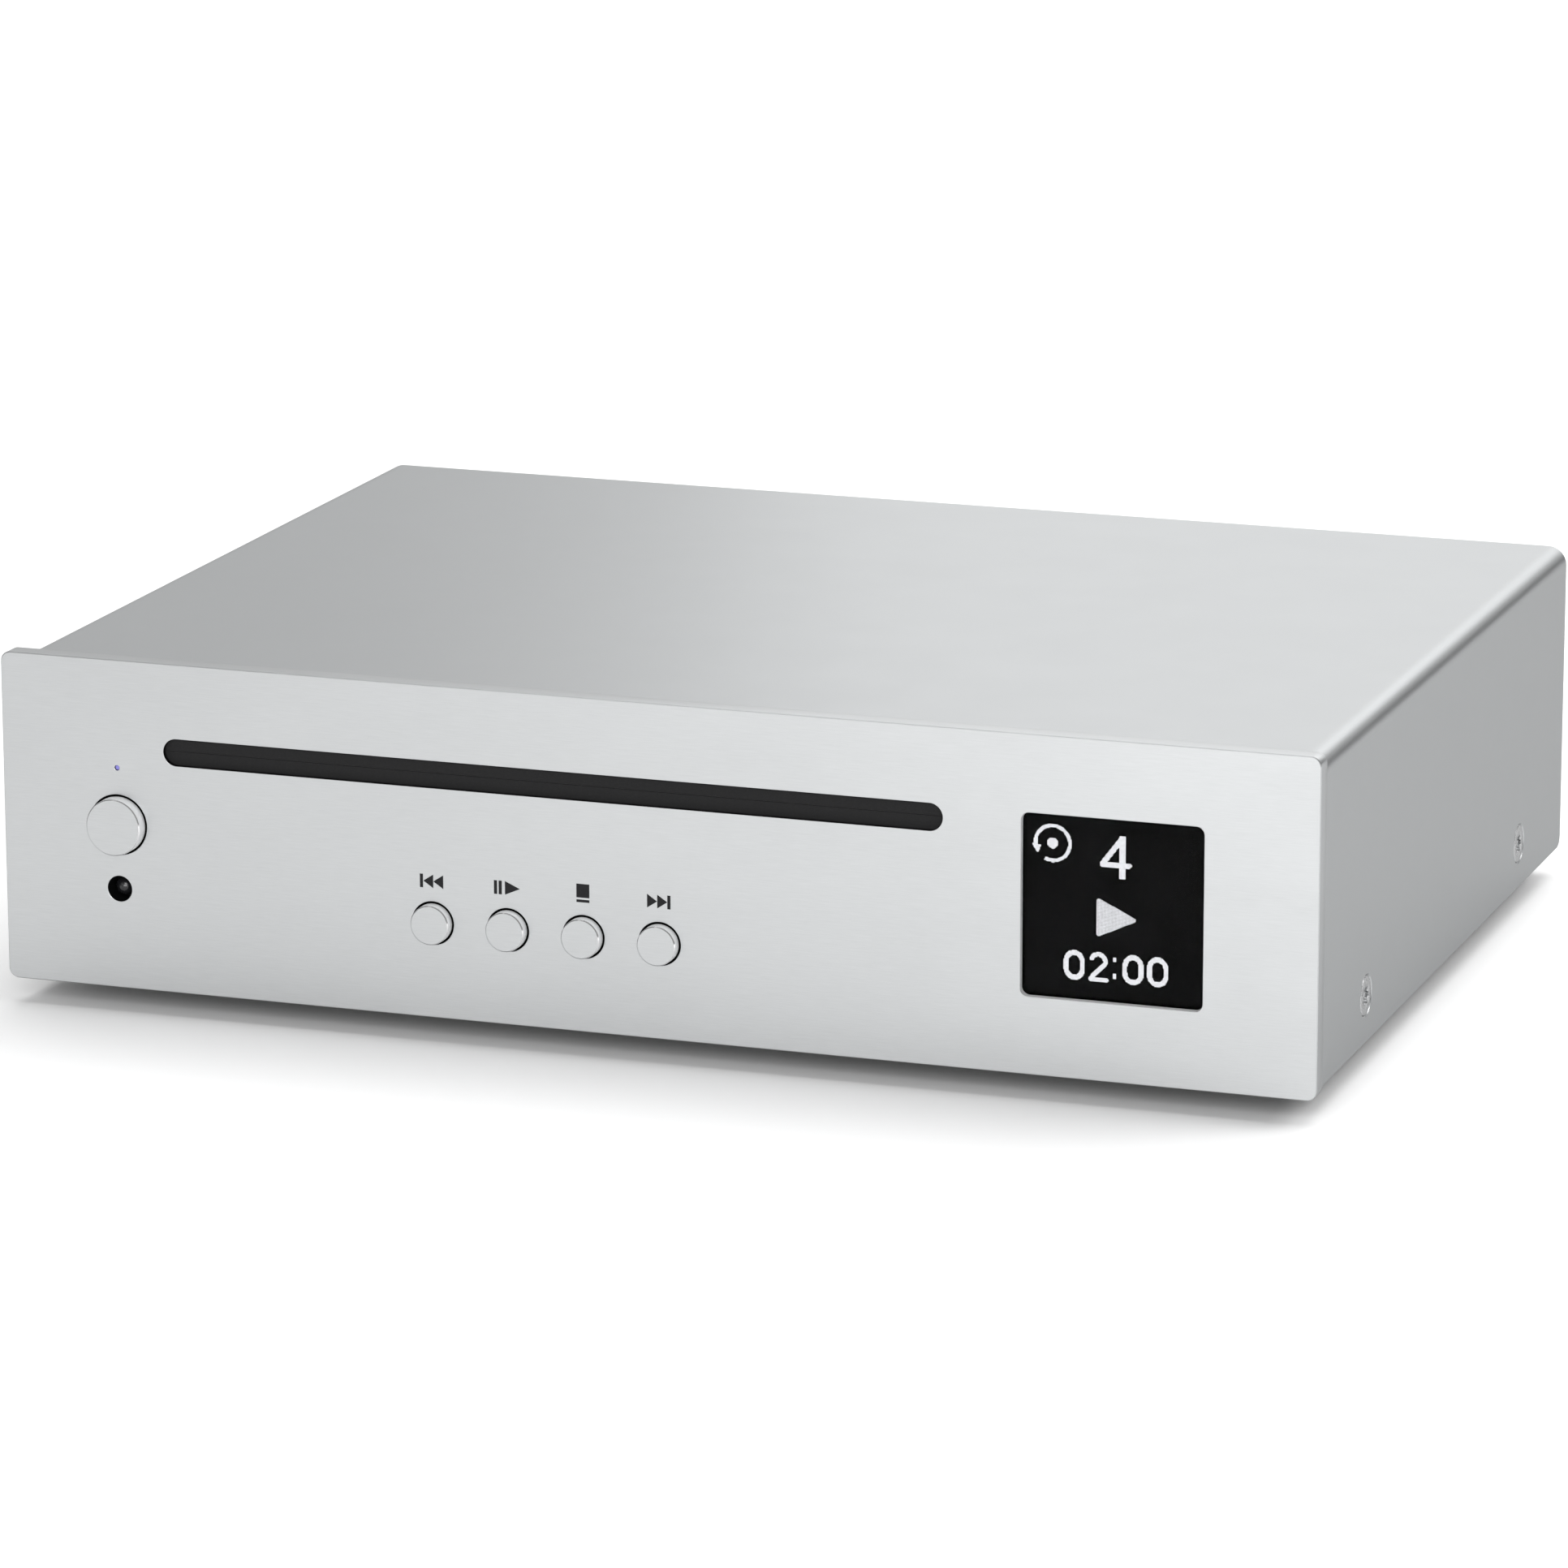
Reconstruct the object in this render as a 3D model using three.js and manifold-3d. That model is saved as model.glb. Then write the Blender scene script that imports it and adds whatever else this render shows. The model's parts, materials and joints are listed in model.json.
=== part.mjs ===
// A slot-loading compact disc player in a half-width aluminium case.
//
// Units are millimetres. +X is the player's right as its user sees it, +Y runs from the front panel to
// the sockets, and +Z is up. The origin is the middle of the bounding box, on the surface that the feet
// stand on. Inside the assembly group, y = 0 is the front panel's face and z = 0 is that surface.

import * as THREE from "three";
import { mergeVertices } from "three/addons/utils/BufferGeometryUtils.js";
import Module from "manifold-3d";

const wasm = await Module();
wasm.setup();

// ---------------------------------------------------------------- driving dimensions

const PANEL = { width: 206, height: 51.1, thick: 3.3, corner: 2.2, bottom: 3.9 };
const CASE = { width: 204.5, rear: 152, sheet: 1.5, bend: 3, corner: 1.8 };
CASE.top = PANEL.bottom + PANEL.height - 1.0;
CASE.bottom = PANEL.bottom + 0.6;
const FLOOR_TOP = CASE.bottom + CASE.sheet; // the inside face of the base
const GAP = 0.1; // between flat faces that meet
const WALL_GAP = 0.25; // between the base's flanges and the cover

const SLOT = { x: -15.2, z: 41.4, width: 123.25, height: 4.2, web: 0.8 };
const LIPS = { width: 129.2, reach: 5.2, front: 0.95, back: 2.6, slit: 0.24 };

const LEFT_COLUMN = -84.5; // indicator, power button and remote-control window share it
const BUTTON = { x: -33.5, pitch: 12, z: 18.55, hole: 3.3, cap: 2.95, out: 1.6 };
const POWER = { z: 29.45, hole: 4.6, cap: 4.38, out: 2.1 };
const REMOTE = { z: 19.45, hole: 2.0 };
const INDICATOR = { z: 38.3, hole: 0.4 };
const DISPLAY = { x: 72.1, z: 29.5, size: 27.7, corner: 1.0, recess: 1.0 };
const BOARD = { front: 9, back: 10.6 }; // the control board, behind the front panel

const SCREW = { z: 11.65, front: 30.3, rear: 123.9, head: 3.1, shank: 1.4 };
const FOOT = { x: 80, front: 24, rear: 128, radius: 7, height: CASE.bottom - 0.05 };

const REAR = { inner: 149.9, outer: 151.4, top: 52.2 };
const SOCKET = { z: 18, out: 160.5, shell: 4.15 };
const SOCKET_X = { lineLeft: -70, lineRight: -52, coaxial: 38, optical: 60, power: 84 };
const MAIN_BOARD = { half: 94.5, bottom: 10, top: 11.6, front: 119, rear: 148.8 };

// The drive. Its own frame has x = 0 at the middle of the slot.
const DISC = { y: 85.5, seat: 36.6, lift: 6 };
const FRAME = { inner: 66.8, outer: 68.8, front: 13, rear: 148.6, top: 49.4 };
FRAME.deckBottom = 28.5;
FRAME.deckTop = 30.5;
const RAIL = { inner: 60.9, front: 26, top: 43.4 }; // they guide the disc's edges
const REST = { radius: 1.5, top: 38.9, at: [[40, -43.5], [46.7, 36]] }; // the disc waits on these
const LID = { bottom: 49.5, top: 50.7 };
const ROLLER = { y: 19.5, z: 37, end: 3.6, middle: 3.2, shaft: 1.5, half: 60 };

// Loading gears, on the frame's left side.
const LOADING_MODULE = 0.6;
const ROLLER_TEETH = 20;
const IDLER_TEETH = 24;
const LOADING_PINION_TEETH = 10;
const GEAR_FACE = { near: -69.4, far: -72.6 };

// The traverse. Its own frame has x = y = 0 on the spindle.
const TRAVERSE = { left: -40, right: 66.2, front: -35.5, rear: 27.5, bottom: 21.4, top: 23 };
const ROD = { radius: 1.5, z: 27.5, front: -17, rear: 17, from: 9.8, to: 66 };
const SLED = { left: 13, right: 29.5, lens: 24, travel: 33.5, top: 33.4 };
const RACK = { pitchY: -24, module: 0.6, bottom: 29.8, top: 32.4 };
const SLED_PINION_TEETH = 14; // the small wheel of the sled gear, on the rack
const SLED_WHEEL_TEETH = 36;
const SLED_MOTOR_TEETH = 12;
const SLED_WHEEL_MODULE = 0.5;
const SLED_GEAR_X = 20;
const SLED_MOTOR_ANGLE = 165; // degrees, from the sled gear to its motor
const LIFT = { run: 14, pin: 1.2, pinX: [-26, 30], left: -43, right: 45, thick: 2, bottom: 16, top: 32 };
const RIB = { y: [-24, 22], half: 1.5, inner: 65.2 }; // the traverse rises along these

const OVERALL_FRONT = -POWER.out;
const FRONT_Y = -(OVERALL_FRONT + SOCKET.out) / 2; // puts the bounding box's middle at y = 0

// ---------------------------------------------------------------- materials

const finish = (color, roughness, metalness) =>
  new THREE.MeshStandardMaterial({ color, roughness, metalness });
const MATERIAL = {
  panel: finish(0xd2d4d5, 0.38, 0.9),
  case: finish(0xc4c7c8, 0.42, 0.9),
  zinc: finish(0xb9bcb8, 0.45, 0.9),
  paint: finish(0x2c2d2f, 0.55, 0.1),
  steel: finish(0xcfd1d4, 0.22, 1),
  rubber: finish(0x1d1d1e, 0.9, 0),
  felt: finish(0x2c2c2d, 1, 0),
  black: finish(0x161617, 0.5, 0),
  glass: finish(0x0a0a0b, 0.08, 0),
  lamp: finish(0x7f86ff, 0.3, 0),
  board: finish(0x1c4a33, 0.6, 0),
  white: finish(0xe6e4dc, 0.5, 0),
  contact: finish(0xd6b25e, 0.25, 1),
  ribbon: finish(0xd9d6cb, 0.6, 0),
};

// ---------------------------------------------------------------- solids

const COARSE = 12;
const ROUND = 18;
const FINE = 24;

function solidOf(geometry) {
  const plain = geometry.clone();
  plain.deleteAttribute("normal");
  plain.deleteAttribute("uv");
  const merged = mergeVertices(plain, 1e-4);
  const mesh = new wasm.Mesh({
    numProp: 3,
    vertProperties: merged.attributes.position.array,
    triVerts: new Uint32Array(merged.index.array),
  });
  return new wasm.Manifold(mesh);
}

function geometryOf(solid) {
  const mesh = solid.getMesh();
  const geometry = new THREE.BufferGeometry();
  geometry.setAttribute("position", new THREE.BufferAttribute(mesh.vertProperties, 3));
  geometry.setIndex(new THREE.BufferAttribute(mesh.triVerts, 1));
  return geometry;
}

const join = (...pieces) => geometryOf(pieces.map(solidOf).reduce((a, b) => a.add(b)));
const cut = (base, ...tools) =>
  geometryOf(tools.map(solidOf).reduce((a, b) => a.subtract(b), solidOf(base)));

// A block from its lowest to its highest corner.
function block([x0, y0, z0], [x1, y1, z1]) {
  const box = new THREE.BoxGeometry(x1 - x0, y1 - y0, z1 - z0);
  return box.translate((x0 + x1) / 2, (y0 + y1) / 2, (z0 + z1) / 2);
}

// A shape drawn in X and Y and given a thickness from z0 to z1.
function slab(shape, z0, z1, curveSegments = 8) {
  const options = { depth: z1 - z0, bevelEnabled: false, curveSegments };
  return new THREE.ExtrudeGeometry(shape, options).translate(0, 0, z0);
}

// The same, drawn in X and Z, from y0 to y1.
function upright(shape, y0, y1, curveSegments = 8) {
  return slab(shape, 0, y1 - y0, curveSegments).rotateX(Math.PI / 2).translate(0, y1, 0);
}

// The same, drawn in Y and Z, from x0 to x1.
const SIDEWAYS = new THREE.Matrix4().makeBasis(
  new THREE.Vector3(0, 1, 0),
  new THREE.Vector3(0, 0, 1),
  new THREE.Vector3(1, 0, 0),
);
function sideways(shape, x0, x1, curveSegments = 8) {
  return slab(shape, 0, x1 - x0, curveSegments).applyMatrix4(SIDEWAYS).translate(x0, 0, 0);
}

// A turned piece: its profile is a list of [radius, distance along the axis], from low to high.
function turned(axis, profile, segments = ROUND) {
  const points = profile.map(([radius, along]) => new THREE.Vector2(radius, along));
  const lathe = new THREE.LatheGeometry(points, segments);
  if (axis === "x") lathe.rotateZ(-Math.PI / 2);
  if (axis === "z") lathe.rotateX(Math.PI / 2);
  return lathe;
}

const rod = (axis, radius, from, to, segments = ROUND) =>
  turned(axis, [[0, from], [radius, from], [radius, to], [0, to]], segments);

function roundedRectangle(width, height, corner, x = 0, y = 0) {
  const [w, h] = [width / 2, height / 2];
  const shape = new THREE.Shape();
  shape.absarc(x + w - corner, y - h + corner, corner, -Math.PI / 2, 0);
  shape.absarc(x + w - corner, y + h - corner, corner, 0, Math.PI / 2);
  shape.absarc(x - w + corner, y + h - corner, corner, Math.PI / 2, Math.PI);
  shape.absarc(x - w + corner, y - h + corner, corner, Math.PI, 1.5 * Math.PI);
  return shape;
}

// ---------------------------------------------------------------- gears

const PRESSURE_ANGLE = THREE.MathUtils.degToRad(20);
const BACKLASH = 0.16;
const involute = (angle) => Math.tan(angle) - angle;

// Half the angle that a tooth takes at a radius.
function halfTooth(teeth, module, radius) {
  const pitch = (teeth * module) / 2;
  const base = pitch * Math.cos(PRESSURE_ANGLE);
  const atPitch = (Math.PI * module - 2 * BACKLASH) / 4 / pitch;
  const slope = Math.acos(Math.min(1, base / Math.max(radius, base)));
  return atPitch + involute(PRESSURE_ANGLE) - involute(slope);
}

// A wheel's outline, with one tooth centred at the angle `turn`.
function gearOutline(teeth, module, turn = 0) {
  const pitch = (teeth * module) / 2;
  const radii = [pitch - 1.2 * module, pitch + 0.9 * module];
  const points = [];
  for (let tooth = 0; tooth < teeth; tooth++) {
    const middle = turn + (tooth * 2 * Math.PI) / teeth;
    const rising = radii.map((r) => [r, middle - halfTooth(teeth, module, r)]);
    const falling = radii.map((r) => [r, middle + halfTooth(teeth, module, r)]).reverse();
    for (const [r, a] of [...rising, ...falling])
      points.push(new THREE.Vector2(r * Math.cos(a), r * Math.sin(a)));
  }
  return new THREE.Shape(points);
}

// The turn that puts a wheel in mesh with one that already has the turn `turnA`. `towards` is the angle
// from that one to it.
function meshedTurn(teethA, turnA, teethB, towards) {
  const phase = ((towards - turnA) * teethA) / (2 * Math.PI);
  return towards + Math.PI - ((0.5 - phase) * 2 * Math.PI) / teethB;
}

// ---------------------------------------------------------------- assembly

const player = new THREE.Group();
const assembly = new THREE.Group();
assembly.position.y = FRONT_Y;
player.add(assembly);

function add(parent, name, geometry, material, x = 0, y = 0, z = 0) {
  const mesh = new THREE.Mesh(geometry, material);
  mesh.name = name;
  mesh.position.set(x, y, z);
  parent.add(mesh);
  return mesh;
}

// ---------------------------------------------------------------- front panel

function frontPanel() {
  const { width, height, thick, corner } = PANEL;
  const through = [-1, thick + 1];
  const hole = (x, z, radius, segments = ROUND) =>
    rod("y", radius, ...through, segments).translate(x, 0, z);
  const plate = upright(
    roundedRectangle(width, height, corner, 0, PANEL.bottom + height / 2),
    0,
    thick,
    4,
  );
  const disc = upright(
    roundedRectangle(SLOT.width, SLOT.height, SLOT.height / 2, SLOT.x, SLOT.z),
    ...through,
    6,
  );
  // The felt lips and the display sit in pockets milled from behind.
  const lipPocket = upright(
    roundedRectangle(LIPS.width + 1.4, 2 * LIPS.reach + 1, 1, SLOT.x, SLOT.z),
    SLOT.web,
    thick + 1,
    3,
  );
  const window = upright(
    roundedRectangle(DISPLAY.size, DISPLAY.size, DISPLAY.corner, DISPLAY.x, DISPLAY.z),
    ...through,
    4,
  );
  const displayPocket = upright(
    roundedRectangle(DISPLAY.size + 2.6, DISPLAY.size + 2.6, 1, DISPLAY.x, DISPLAY.z),
    DISPLAY.recess,
    thick + 1,
    3,
  );
  const lampBore = rod("y", 1.7, 1.0, thick + 1, COARSE).translate(LEFT_COLUMN, 0, INDICATOR.z);
  const buttonHoles = [0, 1, 2, 3].map((n) => hole(BUTTON.x + n * BUTTON.pitch, BUTTON.z, BUTTON.hole));
  return cut(
    plate,
    disc,
    lipPocket,
    window,
    displayPocket,
    lampBore,
    hole(LEFT_COLUMN, INDICATOR.z, INDICATOR.hole, 12),
    hole(LEFT_COLUMN, POWER.z, POWER.hole, FINE),
    hole(LEFT_COLUMN, REMOTE.z, REMOTE.hole),
    ...buttonHoles,
  );
}
add(assembly, "front_panel", frontPanel(), MATERIAL.panel);

// ---------------------------------------------------------------- case

const BACK_OF_PANEL = PANEL.thick + GAP;

// The cover's section: a top and two sides, bent at the upper corners.
function coverSection() {
  const half = CASE.width / 2;
  const { top, bottom, sheet, bend } = CASE;
  const shape = new THREE.Shape();
  shape.moveTo(half, bottom);
  shape.absarc(half - bend, top - bend, bend, 0, Math.PI / 2);
  shape.absarc(-half + bend, top - bend, bend, Math.PI / 2, Math.PI);
  shape.lineTo(-half, bottom);
  shape.lineTo(-half + sheet, bottom);
  shape.absarc(-half + bend, top - bend, bend - sheet, Math.PI, Math.PI / 2, true);
  shape.absarc(half - bend, top - bend, bend - sheet, Math.PI / 2, 0, true);
  shape.lineTo(half - sheet, bottom);
  return shape;
}

// What is cut from the cover's lower rear corners to round them.
function cornerOffcut() {
  const { rear, bottom, corner } = CASE;
  const shape = new THREE.Shape();
  shape.moveTo(rear + 1, bottom - 1);
  shape.lineTo(rear + 1, bottom + corner);
  shape.lineTo(rear, bottom + corner);
  shape.absarc(rear - corner, bottom + corner, corner, 0, -Math.PI / 2, true);
  shape.lineTo(rear - corner, bottom - 1);
  return sideways(shape, -CASE.width, CASE.width, 4);
}

const screwPlaces = [-1, 1].flatMap((side) =>
  [SCREW.front, SCREW.rear].map((y) => ({ side, y, row: y === SCREW.front ? "front" : "rear" })),
);

function topCover() {
  const outside = CASE.width / 2;
  const countersinks = screwPlaces.map(({ side, y }) => {
    const cone = turned("x", [
      [0, outside - CASE.sheet - 1],
      [SCREW.shank + 0.3, outside - CASE.sheet - 1],
      [SCREW.shank + 0.3, outside - CASE.sheet],
      [SCREW.head + 0.2, outside],
      [SCREW.head + 0.2, outside + 1],
      [0, outside + 1],
    ]);
    return (side < 0 ? cone.rotateZ(Math.PI) : cone).translate(0, y, SCREW.z);
  });
  return cut(upright(coverSection(), BACK_OF_PANEL, CASE.rear, 6), cornerOffcut(), ...countersinks);
}
add(assembly, "top_cover", topCover(), MATERIAL.case);

// The base is a tray: its flanges take the cover's screws, and its pillars carry the main board.
function baseChassis() {
  const outer = CASE.width / 2 - CASE.sheet - WALL_GAP;
  const inner = outer - CASE.sheet;
  const [front, rear] = [BACK_OF_PANEL, REAR.inner - GAP];
  const floor = block([-outer, front, CASE.bottom], [outer, REAR.outer, FLOOR_TOP]);
  const frontLip = block([-outer, front, CASE.bottom], [outer, front + CASE.sheet, 8.6]);
  const flanges = [-1, 1].map((side) => {
    const [a, b] = side < 0 ? [-outer, -inner] : [inner, outer];
    return block([a, front, CASE.bottom], [b, rear, 20]);
  });
  const pillars = [[-88, 124], [-40, 124], [30, 124], [92, 124], [-88, 134], [92, 134]].map(([x, y]) =>
    rod("z", 2.6, CASE.bottom + 0.2, MAIN_BOARD.bottom - GAP, 10).translate(x, y, 0),
  );
  const boardTabs = [-66, -2].map((x) =>
    block([x, BOARD.back + 0.3, CASE.bottom], [x + 8, BOARD.back + 1.5, 16]),
  );
  const vents = Array.from({ length: 10 }, (_, n) =>
    slab(roundedRectangle(3, 44, 1.5, -63 + n * 14, 76), CASE.bottom - 1, FLOOR_TOP + 1, 2),
  );
  const tapped = screwPlaces.map(({ side, y }) => {
    const [a, b] = side < 0 ? [-outer - 1, -inner + 1] : [inner - 1, outer + 1];
    return rod("x", SCREW.shank + 0.15, a, b, COARSE).translate(0, y, SCREW.z);
  });
  return cut(join(floor, frontLip, ...flanges, ...pillars, ...boardTabs), ...vents, ...tapped);
}
add(assembly, "base_chassis", baseChassis(), MATERIAL.paint);

function rearPanel() {
  const half = CASE.width / 2 - CASE.sheet - WALL_GAP;
  const [low, high] = [FLOOR_TOP + GAP, REAR.top];
  const outline = roundedRectangle(2 * half, high - low, 2, 0, (low + high) / 2);
  const plate = upright(outline, REAR.inner, REAR.outer, 4);
  const through = [REAR.inner - 1, REAR.outer + 1];
  const rounds = [SOCKET_X.lineLeft, SOCKET_X.lineRight, SOCKET_X.coaxial].map((x) =>
    rod("y", SOCKET.shell + 0.3, ...through).translate(x, 0, SOCKET.z),
  );
  const squares = [[SOCKET_X.optical, 12.2, 12.2], [SOCKET_X.power, 10, 11.6]].map(([x, w, h]) =>
    block([x - w / 2, through[0], SOCKET.z - h / 2], [x + w / 2, through[1], SOCKET.z + h / 2]),
  );
  return cut(plate, ...rounds, ...squares);
}
add(assembly, "rear_panel", rearPanel(), MATERIAL.case);

function foot() {
  const { radius, height } = FOOT;
  const rim = [[radius - 1.6, 0], [radius - 0.9, 0.35], [radius - 0.5, 1], [radius, height]];
  return turned("z", [[0, 0], ...rim, [0, height]], FINE);
}
for (const [side, x] of [["left", -FOOT.x], ["right", FOOT.x]])
  for (const [row, y] of [["front", FOOT.front], ["rear", FOOT.rear]])
    add(assembly, `foot_${row}_${side}`, foot(), MATERIAL.rubber, x, y);

// A countersunk screw along +X, its head's face at x = 0, with a six-lobed recess.
function coverScrew() {
  const lobes = new THREE.Shape(
    Array.from({ length: 12 }, (_, n) => {
      const [radius, angle] = [n % 2 ? 1.0 : 1.5, (n * Math.PI) / 6];
      return new THREE.Vector2(radius * Math.cos(angle), radius * Math.sin(angle));
    }),
  );
  const { head, shank } = SCREW;
  const body = turned("x", [[0, -6.5], [shank, -6.5], [shank, -1.6], [head, 0], [0, 0]]);
  return cut(body, sideways(lobes, -1.1, 1));
}
for (const { side, y, row } of screwPlaces) {
  const name = `cover_screw_${row}_${side < 0 ? "left" : "right"}`;
  const x = side * (CASE.width / 2 - 0.05);
  const screw = add(assembly, name, coverScrew(), MATERIAL.steel, x, y, SCREW.z);
  if (side < 0) screw.rotation.z = Math.PI;
}

// ---------------------------------------------------------------- felt lips

for (const [name, side] of [["slot_lip_upper", 1], ["slot_lip_lower", -1]]) {
  const [a, b] = [side * (LIPS.slit / 2), side * LIPS.reach].sort((p, q) => p - q);
  const half = LIPS.width / 2;
  const strip = block([-half, LIPS.front, a], [half, LIPS.back, b]);
  add(assembly, name, strip, MATERIAL.felt, SLOT.x, 0, SLOT.z);
}

// ---------------------------------------------------------------- controls

const SWITCH = { half: 3.1, front: 5.6, bore: 1.9, boreEnd: 7.4 };

// A cap in its hole, a flange behind the panel that stops it, and a plunger that reaches into its switch.
function pushButton(cap, out) {
  const flange = PANEL.thick + 0.2;
  const chamfer = 0.2;
  return turned(
    "y",
    [
      [0, -out],
      [cap - chamfer, -out],
      [cap, -out + chamfer],
      [cap, flange],
      [cap + 0.8, flange],
      [cap + 0.8, flange + 0.9],
      [1.6, flange + 0.9],
      [1.6, SWITCH.front + 0.6],
      [0, SWITCH.front + 0.6],
    ],
    ROUND,
  );
}
const buttonNames = ["previous_button", "play_pause_button", "stop_button", "next_button"];
const buttonPlaces = buttonNames.map((name, n) => ({ ...BUTTON, name, x: BUTTON.x + n * BUTTON.pitch }));
buttonPlaces.push({ ...POWER, name: "power_button", x: LEFT_COLUMN });
for (const { name, x, z, cap, out } of buttonPlaces)
  add(assembly, name, pushButton(cap, out), MATERIAL.panel, x, 0, z);

// The board behind the panel, with the five switches soldered to it.
function buttonBoard() {
  const { front, back } = BOARD;
  const strip = block([-95, front, 9.4], [7, back, 27]);
  const ear = block([-95, front, 20], [-77.5, back, 42]);
  const { half } = SWITCH;
  const switches = buttonPlaces.map(({ x, z }) =>
    block([x - half, SWITCH.front, z - half], [x + half, front + 0.2, z + half]),
  );
  const bores = buttonPlaces.map(({ x, z }) =>
    rod("y", SWITCH.bore, SWITCH.front - 1, SWITCH.boreEnd, COARSE).translate(x, 0, z),
  );
  const header = block([-14, back - 0.2, 20], [4, back + 2, 25]);
  return cut(join(strip, ear, ...switches, header), ...bores);
}
add(assembly, "button_board", buttonBoard(), MATERIAL.board);

// The indicator's light guide, from its lamp on the board to the pin hole in the panel.
function powerLed() {
  const rear = BOARD.front - GAP;
  return turned("y", [[0, 0.15], [0.32, 0.15], [0.32, 1.1], [1.5, 1.3], [1.5, rear], [0, rear]], 12);
}
add(assembly, "power_led", powerLed(), MATERIAL.lamp, LEFT_COLUMN, 0, INDICATOR.z);

// The remote-control receiver: a domed lens in front of a square body.
function irReceiver() {
  const dome = turned("y", [[0, 0.9], [0.75, 1.1], [1.25, 1.6], [1.5, 2.4], [1.5, 5], [0, 5]], COARSE);
  const body = block([-2.9, PANEL.thick + 0.5, -3.2], [2.9, BOARD.front - GAP, 3.2]);
  return join(dome, body);
}
add(assembly, "ir_receiver", irReceiver(), MATERIAL.black, LEFT_COLUMN, 0, REMOTE.z);

const GLASS = { half: DISPLAY.size / 2 + 0.9, front: DISPLAY.recess + 0.05, back: DISPLAY.recess + 0.75 };
const glassBlock = block([-GLASS.half, GLASS.front, -GLASS.half], [GLASS.half, GLASS.back, GLASS.half]);
add(assembly, "display_glass", glassBlock, MATERIAL.glass, DISPLAY.x, 0, DISPLAY.z);

function displayModule() {
  const half = DISPLAY.size / 2 + 0.6;
  const panel = block([-half, GLASS.back + GAP, -half], [half, 5.2, half]);
  const board = block([-half - 3, 5, -half - 1.5], [half + 3, 6.6, half + 1.5]);
  const plug = block([-8, 6.4, -half], [8, 9, -half + 5]);
  return join(panel, board, plug);
}
add(assembly, "display_module", displayModule(), MATERIAL.black, DISPLAY.x, 0, DISPLAY.z);

// ---------------------------------------------------------------- main board and sockets

function mainBoard() {
  const { half, bottom, top, front, rear } = MAIN_BOARD;
  const board = block([-half, front, bottom], [half, rear, top]);
  const chips = [[-30, 128, 9, 9], [5, 127, 14, 8], [64, 127, 7, 7], [-60, 127, 6, 8]].map(([x, y, w, d]) =>
    block([x - w / 2, y - d / 2, top - 0.2], [x + w / 2, y + d / 2, top + 1.4]),
  );
  const capacitors = [[72, 138], [88, 128], [-88, 141], [-34, 141], [-20, 141], [18, 141]].map(([x, y]) =>
    rod("z", 3.1, top - 0.2, top + 9, 10).translate(x, y, 0),
  );
  return join(board, ...chips, ...capacitors);
}
add(assembly, "main_board", mainBoard(), MATERIAL.board);

// A phono socket: its block on the board, a flange outside the rear panel and a shell round the pin's hole.
function phonoSocket() {
  const { z, out, shell } = SOCKET;
  const base = block([-5.5, 137, MAIN_BOARD.top + GAP - z], [5.5, REAR.inner - GAP, 7]);
  const barrel = turned(
    "y",
    [
      [0, 148],
      [shell, 148],
      [shell, REAR.outer + GAP],
      [shell + 1.2, REAR.outer + GAP],
      [shell + 1.2, REAR.outer + 1],
      [shell, REAR.outer + 1],
      [shell, out - 0.4],
      [shell - 0.4, out],
      [0, out],
    ],
    ROUND,
  );
  return cut(join(base, barrel), rod("y", 1.65, out - 9.5, out + 1, COARSE));
}
for (const [name, x] of [
  ["line_out_left", SOCKET_X.lineLeft],
  ["line_out_right", SOCKET_X.lineRight],
  ["coaxial_out", SOCKET_X.coaxial],
])
  add(assembly, name, phonoSocket(), MATERIAL.contact, x, 0, SOCKET.z);

const SHUTTER = { y: 151.05, z: 3.1, half: 4.1, thick: 0.9, above: 0.4, below: 7.6 };

// The optical socket is a square well that a sprung shutter closes.
function opticalSocket() {
  const { z } = SOCKET;
  const body = block([-5.8, 139, -5.8], [5.8, 152.1, 5.8]);
  const legs = block([-4, 139, MAIN_BOARD.top + GAP - z], [4, 148, -5]);
  const well = block([-4.3, 142.8, -4.7], [4.3, 153, 3.8]);
  return cut(join(body, legs), well);
}
add(assembly, "optical_out", opticalSocket(), MATERIAL.black, SOCKET_X.optical, 0, SOCKET.z);

const shutter = block(
  [-SHUTTER.half, -SHUTTER.thick / 2, -SHUTTER.below],
  [SHUTTER.half, SHUTTER.thick / 2, SHUTTER.above],
);
const shutterZ = SOCKET.z + SHUTTER.z;
add(assembly, "optical_shutter", shutter, MATERIAL.black, SOCKET_X.optical, SHUTTER.y, shutterZ);

// The power inlet: a round well with a pin standing in it.
function powerInlet() {
  const { z } = SOCKET;
  const body = block([-4.7, 137, -5.5], [4.7, 151.8, 5.5]);
  const legs = block([-3.6, 137, MAIN_BOARD.top + GAP - z], [3.6, 147, -5]);
  const well = rod("y", 3.15, 143, 153);
  const pin = rod("y", 1, 142, 151, 10);
  return join(cut(join(body, legs), well), pin);
}
add(assembly, "power_inlet", powerInlet(), MATERIAL.black, SOCKET_X.power, 0, SOCKET.z);

// ---------------------------------------------------------------- drive: frame, lid and guide

const drive = new THREE.Group();
drive.position.x = SLOT.x;
assembly.add(drive);

const IDLER_AT = placeAlong(ROLLER, ROLLER_TEETH + IDLER_TEETH, -53);
const LOADING_PINION_AT = placeAlong(IDLER_AT, IDLER_TEETH + LOADING_PINION_TEETH, -50);

// The centre of a wheel in mesh with one at `from`, `degrees` round it in the Y and Z plane.
function placeAlong(from, teeth, degrees) {
  const distance = (teeth * LOADING_MODULE) / 2;
  const angle = THREE.MathUtils.degToRad(degrees);
  return { y: from.y + distance * Math.cos(angle), z: from.z + distance * Math.sin(angle), angle };
}

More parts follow.
